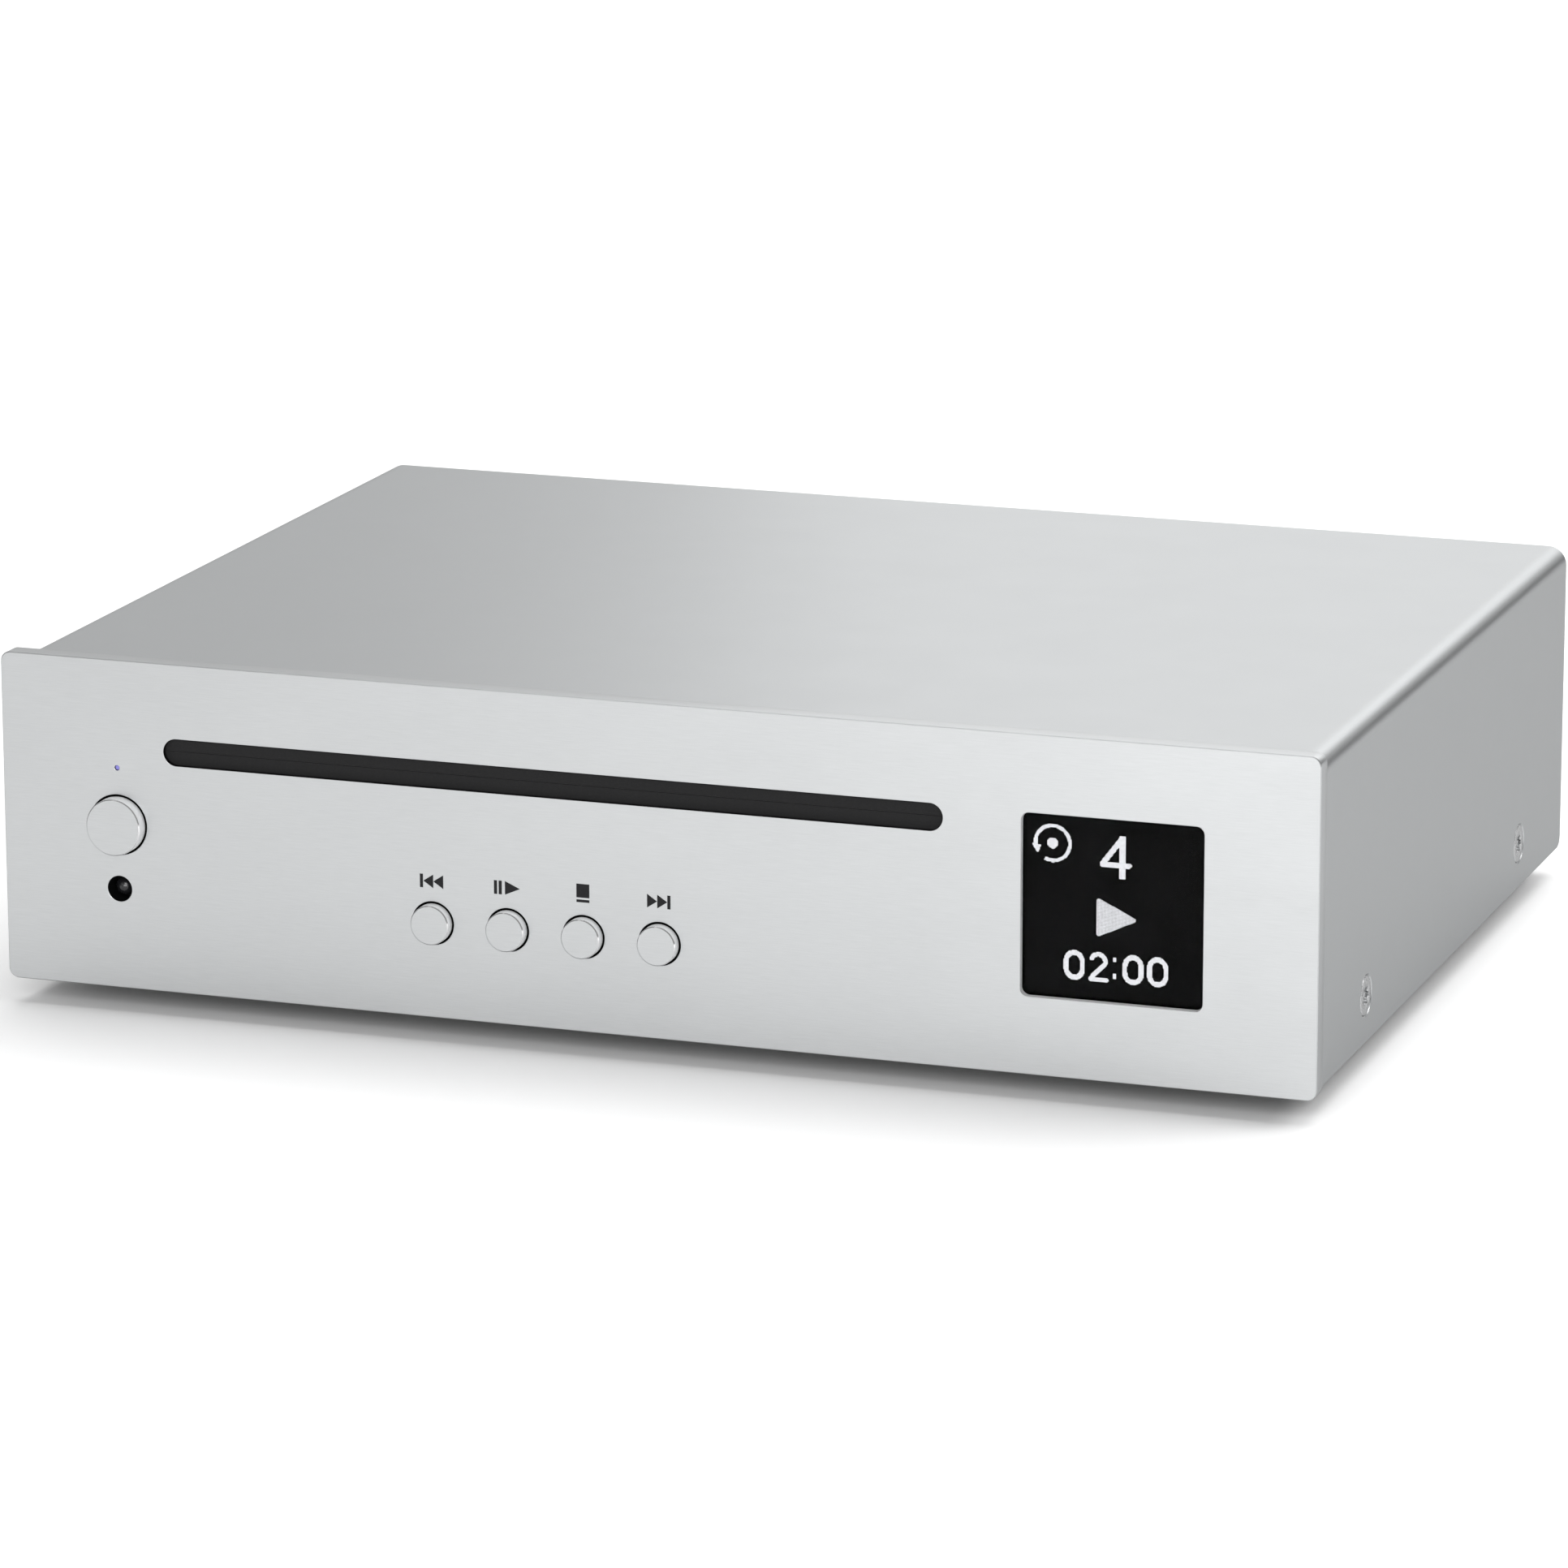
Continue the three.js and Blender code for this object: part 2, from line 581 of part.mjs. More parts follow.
const DAMPER = { bottom: FLOOR_TOP + GAP, top: 9.4, radius: 4.2, x: FRAME.outer + 5 };
const damperRows = [["front", 46], ["rear", 108]];
const OPENING = { left: -44, front: 44, rear: 119 };
const SLIDE_Y = { front: DISC.y + TRAVERSE.front - 4.8, rear: DISC.y + TRAVERSE.rear + 2.8 };

function driveFrame() {
  const { inner, outer, front, rear, deckBottom, deckTop, top } = FRAME;
  const pieces = [block([-outer, front, deckBottom], [outer, rear, deckTop])];
  pieces.push(block([-outer, rear - 1.6, deckBottom], [outer, rear, top]));
  const post = rod("z", REST.radius, deckTop - 0.2, REST.top, COARSE);
  for (const side of [-1, 1]) {
    const across = (a, b) => [side * a, side * b].sort((p, q) => p - q);
    const [plateA, plateB] = across(inner, outer);
    pieces.push(block([plateA, front, deckBottom - 2], [plateB, rear, top]));
    pieces.push(block([plateA, front, DAMPER.top + GAP], [plateB, 115, deckBottom]));
    const [railA, railB] = across(RAIL.inner, inner + 0.5);
    pieces.push(block([railA, RAIL.front, deckBottom], [railB, rear, RAIL.top]));
    const [flangeA, flangeB] = across(inner, DAMPER.x + 4);
    for (const [, y] of damperRows)
      pieces.push(block([flangeA, y - 5, DAMPER.top + GAP], [flangeB, y + 5, DAMPER.top + 1.7]));
    for (const [x, y] of REST.at)
      pieces.push(post.clone().translate(side * x, DISC.y + y, 0));
  }
  // Cross-members, each an angle that a lifting slide runs in.
  const [foot, under] = [LIFT.bottom - 2, LIFT.bottom - 0.3];
  for (const [wallA, wallB, edge] of [
    [SLIDE_Y.front - 2.1, SLIDE_Y.front - 0.5, SLIDE_Y.front + LIFT.thick + 0.4],
    [SLIDE_Y.rear + LIFT.thick + 0.5, SLIDE_Y.rear + LIFT.thick + 2.7, SLIDE_Y.rear - 0.4],
  ]) {
    pieces.push(block([-inner, wallA, foot], [inner, wallB, deckBottom + 0.2]));
    const [footA, footB] = [Math.min(wallA, edge), Math.max(wallB, edge)];
    pieces.push(block([-inner, footA, foot], [inner, footB, under]));
  }
  pieces.push(rod("x", 1.2, GEAR_FACE.far - 0.6, -outer + 0.5, 10).translate(0, IDLER_AT.y, IDLER_AT.z));
  const traverseOpening = block(
    [OPENING.left, OPENING.front, deckBottom - 0.1],
    [inner, OPENING.rear, RAIL.top + 1],
  );
  const shaftHole = rod("x", ROLLER.shaft + 0.2, -outer - 1, outer + 1, COARSE);
  const pinionHole = rod("x", 2.2, -outer - 1, -inner + 1, COARSE);
  const ribs = RIB.y.map((y) =>
    block([RIB.inner, DISC.y + y - RIB.half, 18], [inner + 0.5, DISC.y + y + RIB.half, deckTop + 1]),
  );
  const frame = cut(
    join(...pieces),
    traverseOpening,
    shaftHole.translate(0, ROLLER.y, ROLLER.z),
    pinionHole.translate(0, LOADING_PINION_AT.y, LOADING_PINION_AT.z),
  );
  return join(frame, ...ribs);
}
add(drive, "drive_frame", driveFrame(), MATERIAL.black);

const PUCK = { neck: 12.6, flange: 16, bottom: 43.8, recess: 8.4, recessTop: 46.6 };

function driveLid() {
  const { outer, front, rear } = FRAME;
  const plate = block([-outer, front, LID.bottom], [outer, rear, LID.top]);
  const hole = rod("z", PUCK.neck + 0.8, LID.bottom - 1, LID.top + 1, FINE);
  const lightening = [-1, 1].map((side) =>
    slab(roundedRectangle(26, 60, 4, side * 42, DISC.y), LID.bottom - 1, LID.top + 1, 3),
  );
  return cut(plate, hole.translate(0, DISC.y, 0), ...lightening);
}
add(drive, "drive_lid", driveLid(), MATERIAL.zinc);

// Its underside is arched, so that only a disc's edges touch it.
function upperDiscGuide() {
  const [half, low, high] = [64, 42.4, LID.bottom - GAP];
  const shape = new THREE.Shape();
  shape.moveTo(-half, high);
  shape.lineTo(-half, low);
  shape.quadraticCurveTo(0, low + 2, half, low);
  shape.lineTo(half, high);
  return upright(shape, 15, 24, 10);
}
add(drive, "upper_disc_guide", upperDiscGuide(), MATERIAL.black);

for (const [side, x] of [["left", -DAMPER.x], ["right", DAMPER.x]])
  for (const [row, y] of damperRows) {
    const { bottom, top, radius } = DAMPER;
    const waist = [radius - 0.8, (bottom + top) / 2];
    const damper = turned("z", [[0, bottom], [radius, bottom], waist, [radius, top], [0, top]], COARSE);
    add(drive, `drive_damper_${row}_${side}`, damper, MATERIAL.rubber, x, y);
  }

// ---------------------------------------------------------------- drive: loading

function loadingRoller() {
  const { half, end, middle, shaft } = ROLLER;
  const bore = shaft + 0.2;
  const outside = [[end, -half], [middle, -6], [middle, 6], [end, half]];
  return turned("x", [[bore, -half], ...outside, [bore, half], [bore, -half]]);
}
add(drive, "loading_roller", loadingRoller(), MATERIAL.rubber, 0, ROLLER.y, ROLLER.z);

const rollerShaft = rod("x", ROLLER.shaft, GEAR_FACE.far - 1, FRAME.outer + 1);
add(drive, "roller_shaft", rollerShaft, MATERIAL.steel, 0, ROLLER.y, ROLLER.z);

// A wheel across X, with a bore, and its teeth already turned.
function loadingGear(teeth, turn, bore) {
  const outline = gearOutline(teeth, LOADING_MODULE, turn);
  outline.holes.push(new THREE.Path().absarc(0, 0, bore, 0, 2 * Math.PI, true));
  return sideways(outline, GEAR_FACE.far, GEAR_FACE.near, 6);
}
const rollerTurn = 0;
const idlerTurn = meshedTurn(ROLLER_TEETH, rollerTurn, IDLER_TEETH, IDLER_AT.angle);
const pinionTurn = meshedTurn(IDLER_TEETH, idlerTurn, LOADING_PINION_TEETH, LOADING_PINION_AT.angle);

const rollerGear = loadingGear(ROLLER_TEETH, rollerTurn, ROLLER.shaft + 0.2);
add(drive, "roller_gear", rollerGear, MATERIAL.white, 0, ROLLER.y, ROLLER.z);
const idlerGear = loadingGear(IDLER_TEETH, idlerTurn, 1.4);
add(drive, "idler_gear", idlerGear, MATERIAL.white, 0, IDLER_AT.y, IDLER_AT.z);

// The motor's pinion and its shaft, which runs in a bore in the motor.
function loadingPinion() {
  const outline = gearOutline(LOADING_PINION_TEETH, LOADING_MODULE, pinionTurn);
  const shaft = rod("x", 1, GEAR_FACE.near - 1, -FRAME.inner + 4, 12);
  return join(sideways(outline, GEAR_FACE.far, GEAR_FACE.near), shaft);
}
const { y: pinionY, z: pinionZ } = LOADING_PINION_AT;
add(drive, "loading_pinion", loadingPinion(), MATERIAL.white, 0, pinionY, pinionZ);

function loadingMotor() {
  const face = -FRAME.inner + GAP;
  const end = face + 22;
  const can = [[0, face], [7, face], [7.5, face + 0.6], [7.5, end]];
  const boss = [[3, end], [3, end + 1.5], [0, end + 1.5]];
  return cut(turned("x", [...can, ...boss]), rod("x", 1.3, face - 1, face + 5, 12));
}
add(drive, "loading_motor", loadingMotor(), MATERIAL.steel, 0, pinionY, pinionZ);

// ---------------------------------------------------------------- drive: clamp

function clampPuck() {
  const { neck, flange, bottom, recess, recessTop } = PUCK;
  const under = LID.top + 0.15;
  return turned(
    "z",
    [
      [0, recessTop],
      [recess, recessTop],
      [recess, bottom],
      [neck, bottom],
      [neck, under],
      [flange, under],
      [flange, under + 1],
      [0, under + 1],
    ],
    FINE,
  );
}
add(drive, "clamp_puck", clampPuck(), MATERIAL.black, 0, DISC.y);

// ---------------------------------------------------------------- traverse, which lifts the disc

const traverse = new THREE.Group();
traverse.position.y = DISC.y;
drive.add(traverse);

const SLED_GEAR_AT = {
  x: SLED_GEAR_X,
  y: RACK.pitchY - (SLED_PINION_TEETH * RACK.module) / 2,
};
const motorReach = ((SLED_WHEEL_TEETH + SLED_MOTOR_TEETH) * SLED_WHEEL_MODULE) / 2;
const motorAngle = THREE.MathUtils.degToRad(SLED_MOTOR_ANGLE);
const SLED_MOTOR_AT = {
  x: SLED_GEAR_AT.x + motorReach * Math.cos(motorAngle),
  y: SLED_GEAR_AT.y + motorReach * Math.sin(motorAngle),
};

function traversePlate() {
  const { left, right, front, rear, bottom, top } = TRAVERSE;
  const middleZ = (bottom + top) / 2;
  const pieces = [block([left, front, bottom], [right, rear, top])];
  for (const y of [ROD.front, ROD.rear])
    for (const [a, b] of [[ROD.from - 0.6, ROD.from + 2.4], [63.4, right]])
      pieces.push(block([a, y - 2.6, top - 0.2], [b, y + 2.6, ROD.z + 2.6]));
  for (const x of LIFT.pinX) {
    pieces.push(rod("y", LIFT.pin, front - 5, front + 1, 12).translate(x, 0, middleZ));
    pieces.push(rod("y", LIFT.pin, rear - 1, rear + 5, 12).translate(x, 0, middleZ));
  }
  pieces.push(rod("z", 1, top - 0.2, RACK.top + 0.8, 12).translate(SLED_GEAR_AT.x, SLED_GEAR_AT.y, 0));
  const rods = [ROD.front, ROD.rear].map((y) =>
    rod("x", ROD.radius + 0.15, ROD.from - 0.2, ROD.to + 0.15, COARSE).translate(0, y, ROD.z),
  );
  const motorHole = rod("z", 1.6, bottom - 1, top + 1, 12).translate(SLED_MOTOR_AT.x, SLED_MOTOR_AT.y, 0);
  const lightening = slab(roundedRectangle(24, 22, 3, 46, 0), bottom - 1, top + 1, 3);
  const notches = RIB.y.map((y) =>
    block([RIB.inner - 0.4, y - RIB.half - 0.3, bottom - 1], [right + 1, y + RIB.half + 0.3, top + 0.9]),
  );
  return cut(join(...pieces), ...rods, motorHole, lightening, ...notches);
}
add(traverse, "traverse_plate", traversePlate(), MATERIAL.zinc);

function spindleMotor() {
  const { top } = TRAVERSE;
  const base = top + GAP;
  const can = turned("z", [[0, base], [12, base], [12, 31.6], [11.2, 32.4], [4, 32.4], [4, 33], [0, 33]]);
  return cut(can, rod("z", 1.3, 27, 34, 12));
}
add(traverse, "spindle_motor", spindleMotor(), MATERIAL.steel);

// The seat for the disc, the cone that centres it, and the spindle in the motor.
function turntable() {
  const { seat } = DISC;
  return turned(
    "z",
    [
      [0, 28],
      [1, 28],
      [1, seat - 2.8],
      [15, seat - 2.8],
      [15, seat],
      [7.5, seat],
      [7.2, seat + 1.4],
      [5.4, seat + 2.4],
      [0, seat + 2.4],
    ],
    FINE,
  );
}
add(traverse, "turntable", turntable(), MATERIAL.black);

for (const [name, y] of [["guide_rod_front", ROD.front], ["guide_rod_rear", ROD.rear]])
  add(traverse, name, rod("x", ROD.radius, ROD.from, ROD.to, COARSE), MATERIAL.steel, 0, y, ROD.z);

const LENS = { holder: 2.7, well: 3.1 };

// The rack's bar. Its teeth face -Y, and mesh with a wheel that has a tooth pointing at it at SLED_GEAR_X.
function rackBar() {
  const pitch = Math.PI * RACK.module;
  const [addendum, dedendum] = [0.9 * RACK.module, 1.2 * RACK.module];
  const half = pitch / 4 - BACKLASH / 2;
  const slope = Math.tan(PRESSURE_ANGLE);
  const teethBefore = Math.ceil(SLED.travel / pitch) + 1;
  const points = [];
  for (let n = -teethBefore; n <= 1; n++) {
    const x = SLED_GEAR_X + (n + 0.5) * pitch;
    points.push([x - half - dedendum * slope, RACK.pitchY + dedendum]);
    points.push([x - half + addendum * slope, RACK.pitchY - addendum]);
    points.push([x + half - addendum * slope, RACK.pitchY - addendum]);
    points.push([x + half + dedendum * slope, RACK.pitchY + dedendum]);
  }
  const back = RACK.pitchY + 3.4;
  points.push([points.at(-1)[0], back], [points[0][0], back]);
  return slab(new THREE.Shape(points.map(([x, y]) => new THREE.Vector2(x, y))), RACK.bottom, RACK.top);
}

function pickupSled() {
  const { left, right, lens, top } = SLED;
  const body = block([left, -19.5, 25.2], [right, 19.5, top]);
  const arm = block([left, RACK.pitchY + 2, RACK.bottom], [right, -19, RACK.top]);
  const holder = block([lens - 5, -7, top - 0.2], [lens + 5, 7, top + 1.1]);
  const mainBore = rod("x", ROD.radius + 0.15, left - 1, right + 1, COARSE).translate(0, ROD.rear, ROD.z);
  const fork = block([left - 1, -20, ROD.z - 1.7], [right + 1, ROD.front + 1.7, ROD.z + 1.7]);
  const well = rod("z", LENS.well, 30, top + 3).translate(lens, 0, 0);
  return cut(join(body, arm, holder, rackBar()), mainBore, fork, well);
}
add(traverse, "pickup_sled", pickupSled(), MATERIAL.zinc);

function objectiveLens() {
  const bottom = 31;
  const face = DISC.seat - 1.4;
  const { holder } = LENS;
  return turned("z", [[0, bottom], [holder, bottom], [holder, face - 0.5], [1.9, face - 0.2], [0, face]]);
}
add(traverse, "objective_lens", objectiveLens(), MATERIAL.glass, SLED.lens);

// Two wheels in one: the large one for the motor's pinion and the small one for the rack.
function sledGear() {
  const wheel = slab(gearOutline(SLED_WHEEL_TEETH, SLED_WHEEL_MODULE), 23.3, 24.9);
  const hub = rod("z", 2.9, 24.7, 28.8, COARSE);
  const pinion = slab(gearOutline(SLED_PINION_TEETH, RACK.module, Math.PI / 2), 28.6, RACK.top);
  return cut(join(wheel, hub, pinion), rod("z", 1.2, 20, 40, 12));
}
add(traverse, "sled_gear", sledGear(), MATERIAL.white, SLED_GEAR_AT.x, SLED_GEAR_AT.y);

const sledMotorTurn = meshedTurn(SLED_WHEEL_TEETH, 0, SLED_MOTOR_TEETH, motorAngle);

function sledPinion() {
  const wheel = slab(gearOutline(SLED_MOTOR_TEETH, SLED_WHEEL_MODULE, sledMotorTurn), 23.2, 25);
  return join(wheel, rod("z", 0.9, 17, 24, 10));
}
add(traverse, "sled_pinion", sledPinion(), MATERIAL.white, SLED_MOTOR_AT.x, SLED_MOTOR_AT.y);

function sledMotor() {
  const [bottom, top] = [9.6, TRAVERSE.bottom - GAP];
  return cut(rod("z", 6, bottom, top), rod("z", 1.2, 15, top + 1, 12));
}
add(traverse, "sled_motor", sledMotor(), MATERIAL.steel, SLED_MOTOR_AT.x, SLED_MOTOR_AT.y);

// ---------------------------------------------------------------- traverse: its lifting slides

// A slide with a ramp for each pin: as it moves towards +X by LIFT.run, the pins rise by DISC.lift.
function liftSlider(y) {
  const { run, pin, pinX, left, right, thick, bottom, top } = LIFT;
  const pinZ = (TRAVERSE.bottom + TRAVERSE.top) / 2;
  const reach = pin + 0.3;
  const angle = Math.atan2(DISC.lift, -run);
  const across = angle - Math.PI / 2;
  const ramps = pinX.map((x) => {
    const shape = new THREE.Shape();
    shape.absarc(x, pinZ, reach, angle + Math.PI / 2, angle + 1.5 * Math.PI);
    shape.absarc(x - run, pinZ + DISC.lift, reach, across, across + Math.PI);
    return upright(shape, y - 1, y + thick + 1, 5);
  });
  return cut(block([left, y, bottom], [right, y + thick, top]), ...ramps);
}
add(drive, "lift_slider_front", liftSlider(SLIDE_Y.front), MATERIAL.white);
add(drive, "lift_slider_rear", liftSlider(SLIDE_Y.rear), MATERIAL.white);

// ---------------------------------------------------------------- servo board and its cable

function servoBoard() {
  const [bottom, top] = [22, 23.6];
  const board = block([-36, 16, bottom], [60, 40.6, top]);
  const chips = [[-10, 28, 12], [20, 28, 9]].map(([x, y, w]) =>
    block([x - w / 2, y - w / 2, top - 0.2], [x + w / 2, y + w / 2, top + 1.3]),
  );
  const plug = block([36, 33, bottom - 2.4], [54, 38, bottom + 0.2]);
  return join(board, ...chips, plug);
}
add(drive, "servo_board", servoBoard(), MATERIAL.board);

// A flat cable from the servo board's plug, down to the base and back to the main board.
function flatCable() {
  const [top, low, thick] = [19.5, FLOOR_TOP + 0.8, 0.4];
  const shape = new THREE.Shape();
  const start = 35;
  const end = MAIN_BOARD.front - 0.3;
  const high = MAIN_BOARD.top - 0.2;
  shape.moveTo(start, top);
  shape.lineTo(start, low + 2);
  shape.absarc(start + 2, low + 2, 2, Math.PI, 1.5 * Math.PI);
  shape.absarc(end - 2.4, low + 2, 2, 1.5 * Math.PI, 2 * Math.PI);
  shape.lineTo(end - thick, high);
  shape.lineTo(end, high);
  shape.absarc(end - 2.4, low + 2, 2 + thick, 0, -Math.PI / 2, true);
  shape.absarc(start + 2, low + 2, 2 + thick, 1.5 * Math.PI, Math.PI, true);
  shape.lineTo(start - thick, top);
  return shape;
}
add(drive, "flat_cable", sideways(flatCable(), 37, 53, 2), MATERIAL.ribbon);

export default player;
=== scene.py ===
"""The looks of a slot-loading compact disc player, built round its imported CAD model.

Pieces are drawn in millimetres: x is across from the middle, depth is behind the front panel's face, and z is
up from the surface that the feet stand on. `place` turns that into the frame's metres.
"""

import json
from math import atan2, cos, hypot, pi, radians, sin, sqrt, tan

import bmesh
import bpy
from mathutils import Matrix, Vector
from mathutils.geometry import tessellate_polygon


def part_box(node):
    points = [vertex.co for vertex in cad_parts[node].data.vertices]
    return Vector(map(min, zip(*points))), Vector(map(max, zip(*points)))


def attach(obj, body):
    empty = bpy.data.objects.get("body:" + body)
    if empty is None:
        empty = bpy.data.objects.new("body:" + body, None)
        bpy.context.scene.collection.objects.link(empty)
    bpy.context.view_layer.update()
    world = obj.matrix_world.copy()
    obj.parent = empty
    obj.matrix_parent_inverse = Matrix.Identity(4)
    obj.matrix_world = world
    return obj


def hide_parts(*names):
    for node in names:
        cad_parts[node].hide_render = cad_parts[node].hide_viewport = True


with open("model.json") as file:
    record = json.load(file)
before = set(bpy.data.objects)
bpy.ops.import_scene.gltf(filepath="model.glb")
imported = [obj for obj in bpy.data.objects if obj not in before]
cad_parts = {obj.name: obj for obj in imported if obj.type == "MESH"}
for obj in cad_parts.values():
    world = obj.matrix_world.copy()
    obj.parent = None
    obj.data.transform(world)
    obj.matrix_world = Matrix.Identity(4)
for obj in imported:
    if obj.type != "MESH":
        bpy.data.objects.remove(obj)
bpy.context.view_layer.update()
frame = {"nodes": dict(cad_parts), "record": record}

MM = 0.001
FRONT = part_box("front_panel")[0].y

RECORD = frame["record"]
SLOT_OF = {part["node"]: part["material_slot"] for part in RECORD["subparts"]}
BODY_OF = {node: body for body, nodes in RECORD["behaviour"]["bodies"].items() for node in nodes}


def place(x, depth, z):
    return Vector((x * MM, FRONT + depth * MM, z * MM))


def span(node):
    """A CAD node's lowest and highest corner, in millimetres and depth."""
    return [Vector((p.x / MM, (p.y - FRONT) / MM, p.z / MM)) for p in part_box(node)]


def centre(node):
    low, high = span(node)
    return (low + high) / 2


# ---------------------------------------------------------------- camera

CAMERA = {"azimuth": 19.311, "elevation": 14.182, "roll": -0.107, "distance": 1.09305, "lens": 171.9}
SENSOR = 36
AIM = place(22.045, 0, 44.5)


def towards(azimuth, elevation):
    """The direction from the player to a camera or lamp. Azimuth 0 is its front and 90 its right side."""
    a, e = radians(azimuth), radians(elevation)
    return Vector((sin(a) * cos(e), -cos(a) * cos(e), sin(e)))


def make_camera():
    azimuth = radians(CAMERA["azimuth"])
    back = towards(CAMERA["azimuth"], CAMERA["elevation"])
    right = Vector((cos(azimuth), sin(azimuth), 0))
    up = back.cross(right)
    data = bpy.data.cameras.new("camera")
    data.lens = CAMERA["lens"]
    data.sensor_width = SENSOR
    data.clip_start, data.clip_end = 0.05, 50
    camera = bpy.data.objects.new("camera", data)
    level = Matrix((right, up, back)).transposed().to_4x4()
    turn = Matrix.Rotation(radians(CAMERA["roll"]), 4, "Z")
    camera.matrix_world = Matrix.Translation(AIM + back * CAMERA["distance"]) @ level @ turn
    bpy.context.scene.collection.objects.link(camera)
    bpy.context.scene.camera = camera


# ---------------------------------------------------------------- outlines


def rounded_rectangle(width, height, corner, x=0, z=0, grow=0, steps=8):
    """Points round a rounded rectangle, which `grow` moves outwards all the way round."""
    half_width, half_height = width / 2 - corner, height / 2 - corner
    radius = corner + grow
    points = []
    for quarter, (side, end) in enumerate([(1, 1), (-1, 1), (-1, -1), (1, -1)]):
        for step in range(steps + 1):
            angle = (quarter + step / steps) * pi / 2
            middle_x, middle_z = x + side * half_width, z + end * half_height
            points.append((middle_x + radius * cos(angle), middle_z + radius * sin(angle)))
    return points


def circle(radius, x=0, z=0, grow=0, steps=96):
    angles = [2 * pi * n / steps for n in range(steps)]
    return [(x + (radius + grow) * cos(a), z + (radius + grow) * sin(a)) for a in angles]


def fillet(points, radius, closed=False, steps=4):
    """Rounds the corners of an outline. A corner that has too little room gets a smaller radius."""
    result = []
    count = len(points)
    for index, corner in enumerate(points):
        if not closed and index in (0, count - 1):
            result.append(tuple(corner))
            continue
        here = Vector(corner)
        before = Vector(points[index - 1]) - here
        after = Vector(points[(index + 1) % count]) - here
        room = 0.45 * min(before.length, after.length)
        half = before.angle(after) / 2
        reach = min(radius / tan(half), room) if half < pi / 2 - 0.01 else 0
        if reach < 1e-4:
            result.append(tuple(corner))
            continue
        bisector = (before.normalized() + after.normalized()).normalized()
        middle = here + bisector * reach / cos(half)
        first = here + before.normalized() * reach - middle
        last = here + after.normalized() * reach - middle
        turn = first.angle_signed(last)
        for step in range(steps + 1):
            spoke = first.copy()
            spoke.rotate(Matrix.Rotation(-turn * step / steps, 2))
            result.append(tuple(middle + spoke))
    return result


def chamfer(face, width, inwards, outer):
    """(depth, growth) pairs of a flat bevel between a face and a wall.

    `inwards` is 1 for a front face and -1 for a back face. `outer` is false for the edge of a hole.
    """
    return [(face, -width if outer else width), (face + inwards * width, 0)]


def edge(face, radius, inwards, outer, steps=3):
    """(depth, growth) pairs of a rounded edge between a face and a wall, as for `chamfer`."""
    pairs = []
    for step in range(steps + 1):
        angle = step / steps * pi / 2
        growth = radius * (1 - sin(angle))
        pairs.append((face + inwards * radius * (1 - cos(angle)), -growth if outer else growth))
    return pairs


# ---------------------------------------------------------------- solids


def bridge(bm, first, second):
    """Smooth faces between two rings. A ring may be a single point."""
    count = max(len(first), len(second))
    for n in range(count):
        m = (n + 1) % count
        if len(first) == 1:
            face = bm.faces.new((first[0], second[m], second[n]))
        elif len(second) == 1:
            face = bm.faces.new((first[n], first[m], second[0]))
        else:
            face = bm.faces.new((first[n], first[m], second[m], second[n]))
        face.smooth = True


def fill(bm, loops):
    """Triangles over a flat outline and its holes."""
    verts = [vert for loop in loops for vert in loop]
    for triangle in tessellate_polygon([[vert.co for vert in loop] for loop in loops]):
        bm.faces.new([verts[n] for n in triangle])


def drilled_plate(outline, holes=()):
    """A plate across the depth. The outline and each hole are lists of (depth, points) from front to back."""
    bm = bmesh.new()
    fronts, backs = [], []
    for rings in [outline, *holes]:
        loops = [[bm.verts.new((x, depth, z)) for x, z in points] for depth, points in rings]
        for first, second in zip(loops, loops[1:]):
            bridge(bm, first, second)
        fronts.append(loops[0])
        backs.append(loops[-1])
    fill(bm, fronts)
    fill(bm, backs)
    bmesh.ops.recalc_face_normals(bm, faces=bm.faces)
    return bm


AXES = {
    "x": (Vector((1, 0, 0)), Vector((0, 1, 0)), Vector((0, 0, 1))),
    "y": (Vector((0, 1, 0)), Vector((0, 0, 1)), Vector((1, 0, 0))),
    "z": (Vector((0, 0, 1)), Vector((1, 0, 0)), Vector((0, 1, 0))),
}


def turned(profile, middle=(0, 0, 0), axis="y", steps=96):
    """Revolves (radius, distance along the axis) pairs, from axis to axis or closed on themselves."""
    bm = bmesh.new()
    along, first, second = AXES[axis]
    closed = profile[0] == profile[-1]
    rings = []
    for radius, distance in profile[:-1] if closed else profile:
        point = Vector(middle) + along * distance
        if radius < 1e-6:
            rings.append([bm.verts.new(point)])
            continue
        angles = [2 * pi * n / steps for n in range(steps)]
        rings.append([bm.verts.new(point + radius * (cos(a) * first + sin(a) * second)) for a in angles])
    if closed:
        rings.append(rings[0])
    for one, other in zip(rings, rings[1:]):
        bridge(bm, one, other)
    bmesh.ops.recalc_face_normals(bm, faces=bm.faces)
    return bm


def prism(points, low, high, axis="y", bm=None):
    """An outline with a thickness: (x, z) for axis y, (depth, z) for axis x and (x, depth) for axis z."""
    bm = bm or bmesh.new()
    lift = {
        "y": lambda u, v, w: (u, w, v),
        "x": lambda u, v, w: (w, u, v),
        "z": lambda u, v, w: (u, v, w),
    }[axis]
    loops = [[bm.verts.new(lift(u, v, w)) for u, v in points] for w in (low, high)]
    bridge(bm, *loops)
    for loop in loops:
        fill(bm, [loop])
    bmesh.ops.recalc_face_normals(bm, faces=bm.faces)
    return bm


def box_outline(left, bottom, right, top):
    return [(left, bottom), (right, bottom), (right, top), (left, top)]


# ---------------------------------------------------------------- pieces


def new_object(name, bm):
    for vert in bm.verts:
        vert.co = place(*vert.co)
    mesh = bpy.data.meshes.new(name)
    bm.to_mesh(mesh)
    bm.free()
    thing = bpy.data.objects.new(name, mesh)
    bpy.context.scene.collection.objects.link(thing)
    return thing


